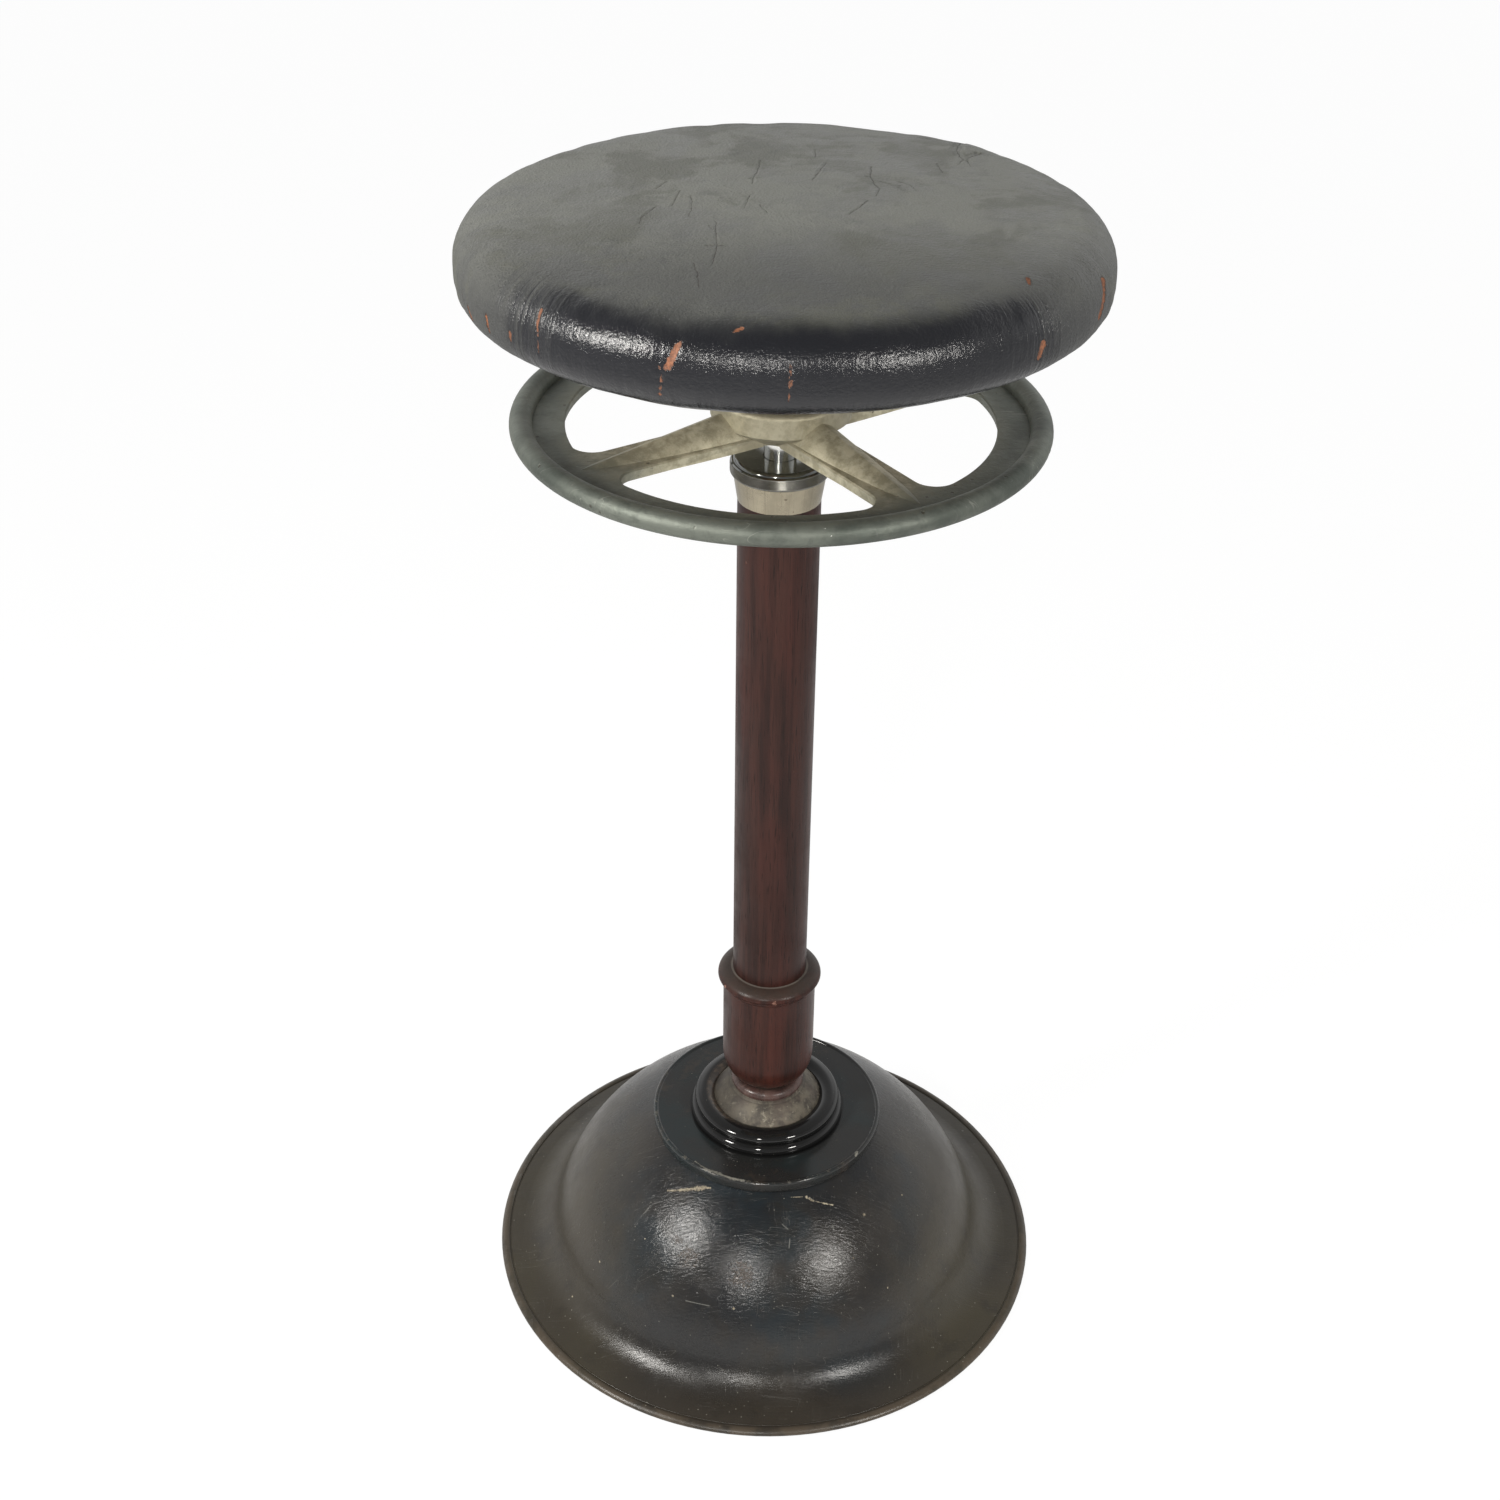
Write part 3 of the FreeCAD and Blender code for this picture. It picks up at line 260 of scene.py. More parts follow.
def bell_enamel():
    """Old black enamel: brown where it has worn thin round the rim, with a painted brown sheen on its left
    and right sides, and with specks, scratches and chips.
    """
    look = Look("bell_enamel")
    black, brown = (0.012, 0.0128, 0.0142), (0.034, 0.028, 0.021)
    gloss, satin = 0.17, 0.30
    bell_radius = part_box("base_bell")[1].x
    worn = look.patches(11, 4, 0.62, 0.38, 0.66)
    low = look.step(look.radius, bell_radius - 0.0565, bell_radius - 0.0065)
    # The left and right sides get a painted brown sheen, standing in for grazing reflections.
    side = look.step(look.maths("ABSOLUTE", look.x), 0.070, 0.135)
    # This mask joins real wear round the rim with the painted sheen on the sides.
    brim_wear_and_side_sheen = look.maths("MAXIMUM", low, side)
    look.colour = look.mix(look.times(look.blend(brim_wear_and_side_sheen, worn, 1), look.blend(brim_wear_and_side_sheen, 0.6, 1)), black, brown)
    # Painted sheen: warmer brown laid over the left and right sides.
    look.paint((0.050, 0.042, 0.024), side, look.blend(worn, 0.3, 0.8))
    teal = look.times(look.patches(17, 3, 0.6, 0.48, 0.66), look.inverse(brim_wear_and_side_sheen))
    look.paint((0.012, 0.019, 0.024), teal, 0.7)
    look.paint([0.55 * c for c in brown], look.patches(31, 5, 0.68, 0.50, 0.66), 0.45)
    edge = look.times(look.step(look.radius, bell_radius - 0.0067, bell_radius - 0.0025),
                      look.patches(38, 4, 0.7, 0.36, 0.56))
    look.paint((0.092, 0.070, 0.048), edge, 0.6)
    scratch, speck = enamel_wear(look, brim_wear_and_side_sheen)
    chip, rubbed_and_highlit = bell_marks(look)
    rub = look.noise(46, 5, 0.72)
    rough = look.blend(look.step(rub, 0.35, 0.72), gloss, satin)
    wear = look.total((0.12, brim_wear_and_side_sheen), (0.15, scratch), (0.2, speck), (0.3, chip))
    brushed = look.noise(1, 3, 0.7, place=look.stretched(150, 620, 460), distortion=0.5)
    brushed = look.times(brushed, look.blend(low, 1, 0.35))
    height = look.total((0.30, look.noise(34)), (0.06, look.noise(1100, 3, 0.7)), (0.25, brushed),
                        (-0.03, scratch), (-0.12, chip), (-0.05, rubbed_and_highlit), (0.03, rub))
    return look.finish(look.maths("ADD", rough, wear, clamp=True), height)


def enamel_wear(look, brim_wear_and_side_sheen):
    """Fine scratches in three directions, and specks. Gives back both."""
    fine = look.lines(look.turned((0, 0, 33), (16, 300, 16)), 0.005, 0.5, 0.62, 24)
    cross = look.lines(look.turned((0, 0, -51), (22, 360, 22)), 0.004, 0.52, 0.62, 31)
    rise = look.lines(look.turned((38, 0, 12), (330, 22, 22)), 0.004, 0.5, 0.62, 27)
    scratch = look.maths("MAXIMUM", look.maths("MAXIMUM", fine, cross), rise)
    look.paint((0.17, 0.16, 0.14), scratch, 0.35)
    speck = look.specks(190, 0.085, 0.44, 0.52)
    look.paint((0.25, 0.24, 0.20), speck, look.blend(brim_wear_and_side_sheen, 0.6, 0.9))
    return scratch, speck


def bell_marks(look):
    """Chips, scratches, and worn places at the lamps' highlights whose brown tint is partly painted
    highlight, as in the photo. Gives back the chips and the places.
    """
    dots = look.spots(BELL_DOTS, 0.3)
    chip = look.maths("MAXIMUM", look.strokes(BELL_CHIPS, 0.8), dots)
    bare = look.mix(look.patches(380, 4, 0.75, 0.36, 0.64), (0.10, 0.080, 0.055), (0.44, 0.385, 0.275))
    look.paint(bare, chip)
    look.paint((0.21, 0.21, 0.19), look.strokes(BELL_SCRATCHES, 0.2), 0.6)
    rubbed_and_highlit = look.times(look.spots(BELL_RUBS_AND_HIGHLIGHTS, 1), look.patches(900, 3, 0.7, 0.38, 0.6))
    # Partly painted highlight: a brown tint over worn enamel where the lamps' highlights fall.
    look.paint((0.075, 0.052, 0.036), rubbed_and_highlit, 0.7)
    return chip, rubbed_and_highlit


def flange_enamel():
    """The socket casting: satin on its face, glossy on its two beads, chipped at its lip."""
    look = Look("flange_enamel")
    bead_radius, mouth_radius, thickness = 0.0528, 0.0400, 0.0072
    flange_radius, face_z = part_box("socket_flange")[1].x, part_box("base_bell")[1].z + thickness
    bead = look.inverse(look.step(look.radius, bead_radius, bead_radius + 0.0017))
    face = look.mix(look.patches(24, 3, 0.6, 0.4, 0.62), (0.018, 0.018, 0.0175), (0.0155, 0.021, 0.022))
    face = look.mix(look.times(look.patches(40, 4, 0.7, 0.55, 0.7), 0.5), face, (0.045, 0.034, 0.026))
    look.colour = look.mix(bead, face, (0.009, 0.009, 0.009))
    mouth = look.times(look.step(look.times(look.x, -1), 0.01, 0.034),
                       look.inverse(look.step(look.radius, mouth_radius, mouth_radius + 0.0032)))
    rub = look.patches(300, 4, 0.75, 0.45, 0.6)
    look.paint((0.085, 0.062, 0.045), mouth, look.blend(rub, 0.35, 1))
    left = look.step(look.maths("SUBTRACT", look.times(look.x, -1), look.y), -0.02, 0.05)
    lip = look.times(look.step(look.radius, flange_radius - 0.0037, flange_radius - 0.0017),
                     look.patches(240, 5, 0.78, 0.53, 0.60),
                     look.step(look.z, face_z - 0.0004, face_z + 0.0004), look.blend(left, 0.10, 0.55))
    look.paint((0.110, 0.098, 0.076), lip)
    chip = look.strokes(FLANGE_CHIPS, 0.9)
    look.paint((0.23, 0.22, 0.185), chip, 0.85)
    look.paint((0.2, 0.19, 0.16), look.specks(300, 0.16, 0.6, 0.66), 0.4)
    satin = look.blend(look.noise(60, 4, 0.7), 0.10, 0.26)
    rough = look.maths("ADD", look.blend(bead, satin, 0.07),
                       look.total((0.35, lip), (0.3, chip), (0.25, mouth)), clamp=True)
    return look.finish(rough, look.total((0.10, look.noise(60)), (-0.10, chip), (-0.03, lip),
                                         (0.006, look.noise(600))))


def ball_iron():
    """The ball foot: bare iron, mottled and stained, with a turned groove; the groove and the left side are
    darkened as painted shade.
    """
    look = Look("ball_iron", Metallic=0.35)
    groove_radius = 0.0262
    mottle = look.noise(95, 6, 0.72)
    look.colour = look.mix(look.step(mottle, 0.36, 0.62), (0.054, 0.046, 0.037), (0.150, 0.130, 0.098))
    look.paint((0.34, 0.31, 0.24), look.patches(260, 4, 0.7, 0.56, 0.68), 0.6)
    look.paint((0.060, 0.040, 0.034), look.patches(36, 3, 0.6, 0.5, 0.66), 0.6)
    off_groove = look.maths("ABSOLUTE", look.maths("SUBTRACT", look.radius, groove_radius))
    groove = look.inverse(look.step(off_groove, 0, 0.0006))
    # Painted shade: a dark line along the groove, where the neck bead meets the ball.
    look.paint((0.05, 0.042, 0.034), groove, 0.5)
    # Painted shade: the ball's left side is darkened.
    look.paint((0.040, 0.034, 0.027), look.step(look.times(look.x, -1), 0.004, 0.022), 0.6)
    turning = look.noise(1, 1, place=look.point(look.times(look.radius, 2600), 0, 0))
    height = look.total((0.06, mottle), (0.012, turning), (-0.08, groove))
    return look.finish(look.blend(mottle, 0.40, 0.66), height)


def mahogany(name, dark, light, red, gloss, shine=0.22):
    """Dark polished wood with its grain along the axis, open pores and a worn polish."""
    look = Look(name, Specular_IOR_Level=shine)
    grain = look.noise(1, 4, 0.62, place=look.stretched(150, 150, 5.5), distortion=0.4)
    figure = look.noise(1, 2, 0.5, place=look.stretched(38, 38, 4), distortion=1.2)
    streak = look.noise(1, 2, 0.6, place=look.stretched(520, 520, 9))
    pores = look.patches(1, 1, 0.5, 0.60, 0.70, place=look.stretched(1500, 1500, 70))
    look.colour = look.mix(look.step(grain, 0.34, 0.66), dark, light)
    look.paint(red, look.step(figure, 0.45, 0.65), 0.55)
    look.paint(dark, look.step(streak, 0.55, 0.72), 0.45)
    look.paint((0.008, 0.004, 0.003), pores, 0.6)
    dents = look.specks(95, 0.10, 0.60, 0.66)
    look.paint((0.11, 0.045, 0.03), dents, 0.5)
    rough = look.blend(look.patches(17, 4, 0.65, 0.42, 0.66), gloss, gloss + 0.16)
    look.finish(look.maths("ADD", rough, look.total((0.12, pores), (0.05, streak)), clamp=True),
                look.total((-0.05, pores), (0.03, grain), (0.10, look.noise(30)), (-0.10, dents)))
    return look


def column_wood():
    tones = (0.020, 0.0078, 0.0062), (0.044, 0.0165, 0.0125), (0.054, 0.016, 0.012)
    return mahogany("mahogany", *tones, 0.33).material


def sleeve_wood():
    """The redder sleeve: dull and grey on the collar's top, with paler red spots at its lower edge."""
    tones = (0.021, 0.0075, 0.0058), (0.050, 0.0170, 0.0122), (0.064, 0.0175, 0.012)
    look = mahogany("mahogany_red", *tones, 0.28)
    sleeve_top, column_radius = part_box("sleeve")[1].z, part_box("column")[1].x
    collar = look.step(look.z, sleeve_top - 0.0055, sleeve_top - 0.0015)
    look.paint((0.048, 0.038, 0.032), collar, look.blend(look.noise(140, 4, 0.7), 0.55, 0.95))
    ring = look.inverse(look.step(look.radius, column_radius + 0.0009, column_radius + 0.0019))
    look.paint((0.17, 0.15, 0.13), look.times(ring, collar), 0.7)
    # Paler red spots on the collar.
    look.paint((0.20, 0.10, 0.075), look.spots([(3.5, -33.6, 237.5, 1.5), (4.5, -33.8, 236.4, 1.1),
                                                (-29, -18, 238, 1.2)], 0.6))
    look.put("Base Color", look.colour)
    return look.material


def neck_wood():
    tones = (0.050, 0.029, 0.025), (0.105, 0.064, 0.054), (0.085, 0.044, 0.038)
    return mahogany("neck_polish", *tones, 0.20, 0.45).material


def cast_aluminium():
    """Sand-cast aluminium, dulled to grey-green, with a warmer hub and pits."""
    look = Look("cast_aluminium", Metallic=0.62)
    cloud = look.noise(17, 5, 0.65)
    fine = look.noise(120, 5, 0.7)
    look.colour = look.mix(look.step(cloud, 0.38, 0.62), (0.088, 0.100, 0.086), (0.158, 0.172, 0.148))
    look.paint((0.085, 0.096, 0.082), look.step(fine, 0.50, 0.68), 0.45)
    warm = look.inverse(look.step(look.maths("ADD", look.radius, look.times(cloud, 0.05)), 0.105, 0.158))
    look.paint(look.mix(look.step(fine, 0.35, 0.62), (0.32, 0.295, 0.205), (0.54, 0.505, 0.375)), warm, 0.92)
    look.paint((0.21, 0.19, 0.135), look.inverse(look.step(look.radius, 0.030, 0.060)), 0.7)
    pit = look.specks(170, 0.20, 0.58, 0.64)
    look.paint((0.06, 0.055, 0.042), pit, 0.75)
    around = look.lines(look.turned((0, 0, 20), (60, 420, 60)), 0.012, 0.5, 0.62, 40)
    look.paint((0.42, 0.42, 0.38), around, 0.35)
    nick = look.spots([(27, -152, 640, 2.2), (23, -150, 643, 1.4), (31, -153, 637, 1.2)], 1.1)
    look.paint((0.66, 0.66, 0.62), nick)
    return look.finish(look.blend(look.noise(70, 4, 0.7), 0.40, 0.66),
                       look.total((0.34, look.noise(260, 4, 0.62)), (0.45, look.noise(55, 3, 0.5)),
                                  (-0.35, pit), (0.02, around)))


def nickel(name, rough_low, rough_high, streaks, tone):
    """Old nickel plating, yellowed, with specks and fine streaks along the axis."""
    look = Look(name, Metallic=1.0)
    tarnish = look.noise(70, 4, 0.65)
    look.colour = look.mix(look.step(tarnish, 0.36, 0.66), tone, [0.80 * c for c in tone])
    along = look.noise(1, 2, 0.6, place=look.round_about(26, 24))
    look.paint([0.66 * c for c in tone], look.step(along, 0.52, 0.66), streaks)
    marks = look.spots([(3.5, -26.2, 597.5, 0.9), (3.9, -26.1, 595.5, 0.6), (-10, -25, 601, 0.5)], 0.9)
    speck = look.maths("MAXIMUM", look.specks(330, 0.15, 0.56, 0.62), marks)
    look.paint((0.10, 0.075, 0.05), speck, 0.8)
    rough = look.maths("ADD", look.blend(tarnish, rough_low, rough_high), look.times(speck, 0.3), clamp=True)
    return look.finish(rough, look.total((0.012, look.noise(300, 3)), (-0.03, speck), (0.01, along)))


def metal(name, dark, light, rough, metallic=1.0, grit=0.02):
    """Plain worn metal for the inner pieces, with faint turning lines."""
    look = Look(name, Metallic=metallic)
    cloud = look.noise(90, 4, 0.65)
    look.colour = look.mix(look.step(cloud, 0.35, 0.65), dark, light)
    place = look.point(look.times(look.radius, 1800), 0, look.times(look.z, 1800))
    relief = look.total((grit, cloud), (grit * 0.3, look.noise(1, 1, place=place)),
                        (grit, look.noise(540)))
    return look.finish(look.blend(look.noise(153, 3), rough - 0.08, rough + 0.1), relief)


def polished_steel():
    look = Look("polished_steel", Metallic=1.0)
    look.colour = look.mix(look.patches(60, 3, 0.5, 0.4, 0.65), (0.92, 0.92, 0.89), (0.78, 0.78, 0.75))
    mark = look.specks(260, 0.13, 0.55, 0.62)
    look.paint((0.16, 0.13, 0.1), mark, 0.6)
    turning = look.noise(1, 2, place=look.stretched(60, 60, 900))
    return look.finish(look.blend(turning, 0.10, 0.20), look.total((0.006, turning), (-0.03, mark)))


def board_wood():
    look = Look("board")
    grain = look.noise(1, 4, 0.6, place=look.stretched(14, 170, 120), distortion=0.8)
    look.colour = look.mix(look.step(grain, 0.35, 0.65), (0.20, 0.12, 0.060), (0.40, 0.27, 0.155))
    look.paint((0.10, 0.062, 0.036), look.patches(12, 4, 0.7, 0.45, 0.7), 0.5)
    height = look.total((0.08, grain), (0.03, look.noise(400)))
    return look.finish(look.blend(grain, 0.55, 0.8), height)


def fabric(name, dark, light, scale):
    look = Look(name, Sheen_Weight=0.3)
    weave = look.noise(scale, 3, 0.7)
    look.colour = look.mix(look.step(weave, 0.35, 0.65), dark, light)
    height = look.total((0.2, weave), (0.1, look.noise(scale * 3)))
    return look.finish(look.blend(weave, 0.8, 0.98), height)


def aged_leather():
    """Old black leather: dusty and dull on top, with a painted grey sheen there, polished round the edge,
    cracked to its brown hide.
    """
    look = Look("aged_leather")
    edge = look.attribute("edge")
    dust = dust_and_sheen_leather(look, edge)
    black = polished_leather(look)
    ragged = look.times(look.centred(look.noise(330, 4, 0.75)), 0.9)
    line, craze = leather_cracks(look, ragged, black, edge)
    bare = bare_hide(look, ragged, edge)
    wear = look.noise(52, 5, 0.7)
    dull_rough = look.total((1, look.blend(dust, 0.36, 0.50)), (0.10, wear))
    rough = look.blend(black, dull_rough, look.blend(wear, 0.12, 0.27))
    rough = look.maths("ADD", rough, look.total((0.35, bare), (0.25, line)), clamp=True)

    height = look.total((0.30, look.cells(780, "SMOOTH_F1")), (0.62, look.noise(520, 3, 0.6)),
                        (0.55, look.noise(1, 3, 0.6, look.stretched(190, 720, 400), 0.5)),
                        (-0.30, line), (-0.10, craze), (-0.40, bare))
    height = look.times(height, look.blend(black, 1.3, 0.22))
    return look.finish(rough, look.maths("ADD", height, edge_relief(look, edge, black)))


def dust_and_sheen_leather(look, edge):
    """Grey on the dull top, part dust and part painted sheen that fades towards the front and over the edge,
    with olive stains. Gives back where the dust lies.
    """
    front = look.step(look.times(look.y, -1), 0.02, 0.13)
    clouds = look.noise(9, 6, 0.64, distortion=0.3)
    smudge = look.noise(24, 5, 0.68, distortion=0.4)
    dust = look.step(look.total((0.5, clouds), (0.5, smudge)), 0.44, 0.55)
    mottle = look.noise(170, 4, 0.7)
    # The grey is part dust and part painted sheen; less of it is painted towards the front and over the edge.
    dull = look.times(look.blend(dust, 0.70, 1.02), look.blend(mottle, 0.80, 1.20),
                      look.blend(front, 1, 0.38), look.blend(edge, 1, 0.36))
    look.colour = look.mix(dull, (0.016, 0.017, 0.020), (0.205, 0.209, 0.184))
    look.paint((0.096, 0.098, 0.077), look.patches(15, 6, 0.66, 0.52, 0.61, distortion=0.3), 0.6)
    look.paint((0.055, 0.057, 0.058), look.patches(44, 4, 0.7, 0.56, 0.68), 0.25)
    return dust


def polished_leather(look):
    """The edge where trousers have polished it black. Gives back where that is."""
    streak = look.noise(1, 3, 0.65, look.round_about(60, 14))
    sides = look.step(look.maths("ABSOLUTE", look.x), 0.085, 0.125)
    wander = look.total((0.9, look.noise(30, 4, 0.6)), (0.35, look.blend(sides, 0.5, streak)))
    wander = look.maths("ADD", wander, look.times(look.centred(streak), sides))
    shifted = look.maths("ADD", look.attribute("polish"), look.maths("SUBTRACT", wander, 0.625))
    black = look.step(shifted, 0.08, 0.92)
    look.paint((0.0120, 0.0125, 0.0155), black)
    return black


def leather_cracks(look, ragged, black, edge):
    """Dark lines along the creases, and fine crazing on the dull top. Gives back both."""
    bend = look.times(look.centred(look.noise(210, 3, 0.6)), 3.2)
    off_line = look.total((1, look.attribute("crease_side")), (1, ragged), (1, bend))
    line = look.times(look.inverse(look.step(look.maths("ABSOLUTE", off_line), 0.03, 0.24)),
                      look.step(look.attribute("crease"), 0.10, 0.45))
    look.paint((0.040, 0.026, 0.019), line, 0.75)
    border = look.cells(62, "DISTANCE_TO_EDGE", look.turned((0, 0, 20), (1, 1, 1)))
    craze = look.times(look.inverse(look.step(border, 0, 0.016)), look.patches(15, 3, 0.6, 0.53, 0.64),
                       look.inverse(look.maths("MAXIMUM", black, edge)))
    look.paint((0.045, 0.045, 0.043), craze, 0.22)
    return line, craze


def bare_hide(look, ragged, edge):
    """Brown hide where the black has flaked off. Gives back where that is."""
    flake = look.attribute("flake")
    bare = look.times(look.step(look.maths("ADD", flake, look.times(ragged, 1.5)), 0.45, 0.56),
                      look.step(flake, 0.05, 0.20))
    flecks = look.times(look.patches(1, 4, 0.75, 0.70, 0.735, place=look.round_about(30, 16)),
                        look.step(edge, 0.5, 0.9), look.step(look.maths("ABSOLUTE", look.x), 0.10, 0.155))
    bare = look.maths("MAXIMUM", bare, flecks)
    hide = look.mix(look.patches(420, 4, 0.75, 0.35, 0.65), (0.30, 0.112, 0.050), (0.125, 0.050, 0.026))
    hide = look.mix(look.step(look.maths("ADD", flake, ragged), 0.46, 0.66), (0.085, 0.036, 0.020), hide)
    look.paint(hide, bare)
    return bare


def edge_relief(look, edge, black):
    """Ridges that run down the dull edge, and fine hammered streaks on the polished one."""
    radial = look.noise(1, 3, 0.62, look.round_about(95, 70), 0.25)
    broad = look.noise(1, 2, 0.55, look.round_about(36, 22), 0.4)
    ridges = look.times(look.step(edge, 0.25, 0.85), look.inverse(look.times(black, 0.72)),
                        look.total((0.70, radial), (0.60, broad)))
    hammer = look.noise(1, 3, 0.6, look.round_about(105, 760), 0.3)
    streaks = look.noise(1, 3, 0.65, look.round_about(85, 170), 0.5)
    hammer = look.maths("ADD", hammer, look.times(streaks, 0.75))
    return look.maths("ADD", ridges, look.times(black, 0.24, hammer))


# The leather seat: sizes in metres

seat_low, seat_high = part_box("seat_cover")
board_low, board_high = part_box("seat_board")
seat_z = seat_low.z
seat_radius = seat_high.x
foot_round, top_round, side_height = 0.015, 0.025, 0.0471
crown_slope = math.radians(6.0)
edge_x = seat_radius - top_round + top_round * math.sin(crown_slope)
edge_z = seat_z + side_height - top_round + top_round * math.cos(crown_slope)
crown_radius = edge_x / math.sin(crown_slope)
board_radius = board_high.x
board_room = 0.0003
hem_radius = board_radius - 0.024
hem_drop = 0.0001
tack_circle = board_radius - 0.007
tack_count = 36
tack_reach = 0.0045
tack_share = 0.17
around_count = 240
disc_radius = 0.112
bottom_inset = 0.004
crown_rows, round_rows, foot_rows, hem_rows = 10, 9, 6, 6

# The simulation starts a little inside the outline, and its bulges and sag are limited
start_inset = 0.0010
bulge_limit = 0.0008
sag_limit = 0.0012
simulated_frames = 20

# Heights of the finer forms in the leather
swell, ripple = 0.00055, 0.00022
rim_swell, rim_ripple = 0.00030, 0.00014
flake_depth, flake_lip = 0.00035, 0.00016
crack_depth, crack_lip = 0.00028, 0.00014
tear_place, tear_reach, tear_height = (0.103, 0.104), (0.013, 0.020), 0.0013
polish_from, polish_to = 0.150, 0.1745


def crown_z(radius):
    rise = math.sqrt(crown_radius ** 2 - radius ** 2) - math.sqrt(crown_radius ** 2 - edge_x ** 2)
    return edge_z + rise


def seat_profile():
    """(radius, height, edge share) down the outside of the leather, from the crown to its hem."""
    rows = []
    for i in range(1, crown_rows + 1):
        x = disc_radius + (edge_x - disc_radius) * i / crown_rows
        rows.append((x, crown_z(x), 0.0))
    span = math.pi / 2 - crown_slope
    for i in range(1, round_rows + 1):
        turn = span - span * i / round_rows
        rows.append((seat_radius - top_round + top_round * math.cos(turn),
                     seat_z + side_height - top_round + top_round * math.sin(turn), i / round_rows))
    rows.append((seat_radius, seat_z + (side_height - top_round + foot_round) / 2, 1.0))
    for i in range(foot_rows + 1):
        turn = -math.pi / 2 * i / foot_rows
        rows.append((seat_radius - foot_round + foot_round * math.cos(turn),
                     seat_z + foot_round + foot_round * math.sin(turn), 1.0))
    start = seat_radius - foot_round
    for i in range(1, hem_rows + 1):
        rows.append((start + (hem_radius - start) * i / hem_rows, seat_z, 1.0))
    return rows


def disc_points(count, radius):
    """A square grid pressed into a disc, with evenly spaced points round its edge."""
    steps = np.linspace(-1, 1, count + 1)
    a, b = np.meshgrid(steps, steps, indexing="ij")
    wide = np.abs(a) >= np.abs(b)
    reach = np.where(wide, a, b)
    safe = np.where(np.abs(reach) < 1e-9, 1.0, reach)
    turn = np.where(wide, np.pi / 4 * b / safe, np.pi / 2 - np.pi / 4 * a / safe)
    grid = np.stack([reach * np.cos(turn), reach * np.sin(turn)], axis=2)
    for _ in range(30):
        inner = (grid[:-2, 1:-1] + grid[2:, 1:-1] + grid[1:-1, :-2] + grid[1:-1, 2:]) / 4
        grid[1:-1, 1:-1] = inner
    return grid * radius


def disc_edge(n):
    """Grid places round the disc's edge, anticlockwise from the corner (1, -1)."""
    return ([(n, j) for j in range(n)] + [(i, n) for i in range(n, 0, -1)]
            + [(0, j) for j in range(n, 0, -1)] + [(i, 0) for i in range(n)])


def seat_mesh():
    """Closed skin for the simulation: crown, side, turned-under hem and a flat bottom."""
    count = around_count // 4
    verts, faces, edge_share = [], [], []

    def disc(radius, height, flip):
        first = len(verts)
        for x, y in disc_points(count, radius).reshape(-1, 2):
            verts.append((x, y, height(math.hypot(x, y))))
            edge_share.append(0.0)

        def at(i, j):
            return first + i * (count + 1) + j
        for i in range(count):
            for j in range(count):
                quad = (at(i, j), at(i + 1, j), at(i + 1, j + 1), at(i, j + 1))
                faces.append(quad[::-1] if flip else quad)
        return [at(i, j) for i, j in disc_edge(count)]

    def join(upper, lower):
        for k in range(around_count):
            n = (k + 1) % around_count
            faces.append((upper[k], lower[k], lower[n], upper[n]))

    loop = disc(disc_radius, crown_z, False)
    for radius, height, share in seat_profile():
        ring = list(range(len(verts), len(verts) + around_count))
        for k in range(around_count):
            turn = -math.pi / 4 + 2 * math.pi * k / around_count
            verts.append((radius * math.cos(turn), radius * math.sin(turn), height))
            edge_share.append(share)
        join(loop, ring)
        loop = ring
    skin_faces = len(faces)
    join(loop, disc(hem_radius - bottom_inset, lambda radius: seat_z, True))
    return np.array(verts), faces, np.array(edge_share), skin_faces


def mesh_object(name, verts, faces):
    mesh = bpy.data.meshes.new(name)
    mesh.from_pydata([tuple(v) for v in verts], [], faces)
    mesh.update()
    made = bpy.data.objects.new(name, mesh)
    bpy.context.scene.collection.objects.link(made)
    return made


def read_values(items, key, width=1):
    """One named value of every item, as an array with a row for each."""
    flat = np.zeros(len(items) * width)
    items.foreach_get(key, flat)
    return flat.reshape(-1, width) if width > 1 else flat


def add_attribute(mesh, name, values):
    mesh.attributes.new(name, "FLOAT", "POINT").data.foreach_set("value", values)


def evaluated(made):
    """A plain copy of the object's mesh with its modifiers applied."""
    ready = made.evaluated_get(bpy.context.evaluated_depsgraph_get())
    return bpy.data.meshes.new_from_object(ready)


def inflate(made, held):
    """Cloth simulation with air pressure; the held points stay where the tacks hold the hem."""
    group = made.vertex_groups.new(name="held")
    group.add([int(i) for i in np.nonzero(held)[0]], 1.0, "REPLACE")
    cloth = made.modifiers.new("Cloth", "CLOTH")
    settings = cloth.settings
    settings.quality = 5
    settings.mass = 0.35
    settings.tension_stiffness = settings.compression_stiffness = 18
    settings.shear_stiffness = 8
    settings.bending_stiffness = 2.5
    settings.air_damping = 4
    settings.shrink_min = -0.003
    settings.use_pressure = True
    settings.uniform_pressure_force = 4
    settings.vertex_group_mass = "held"
    settings.effector_weights.gravity = 0
    scene = bpy.context.scene
    for number in range(1, simulated_frames + 1):
        scene.frame_set(number)
        bpy.context.view_layer.update()
    result = read_values(evaluated(made).vertices, "co", 3)
    made.modifiers.remove(cloth)
    scene.frame_set(1)
    return result


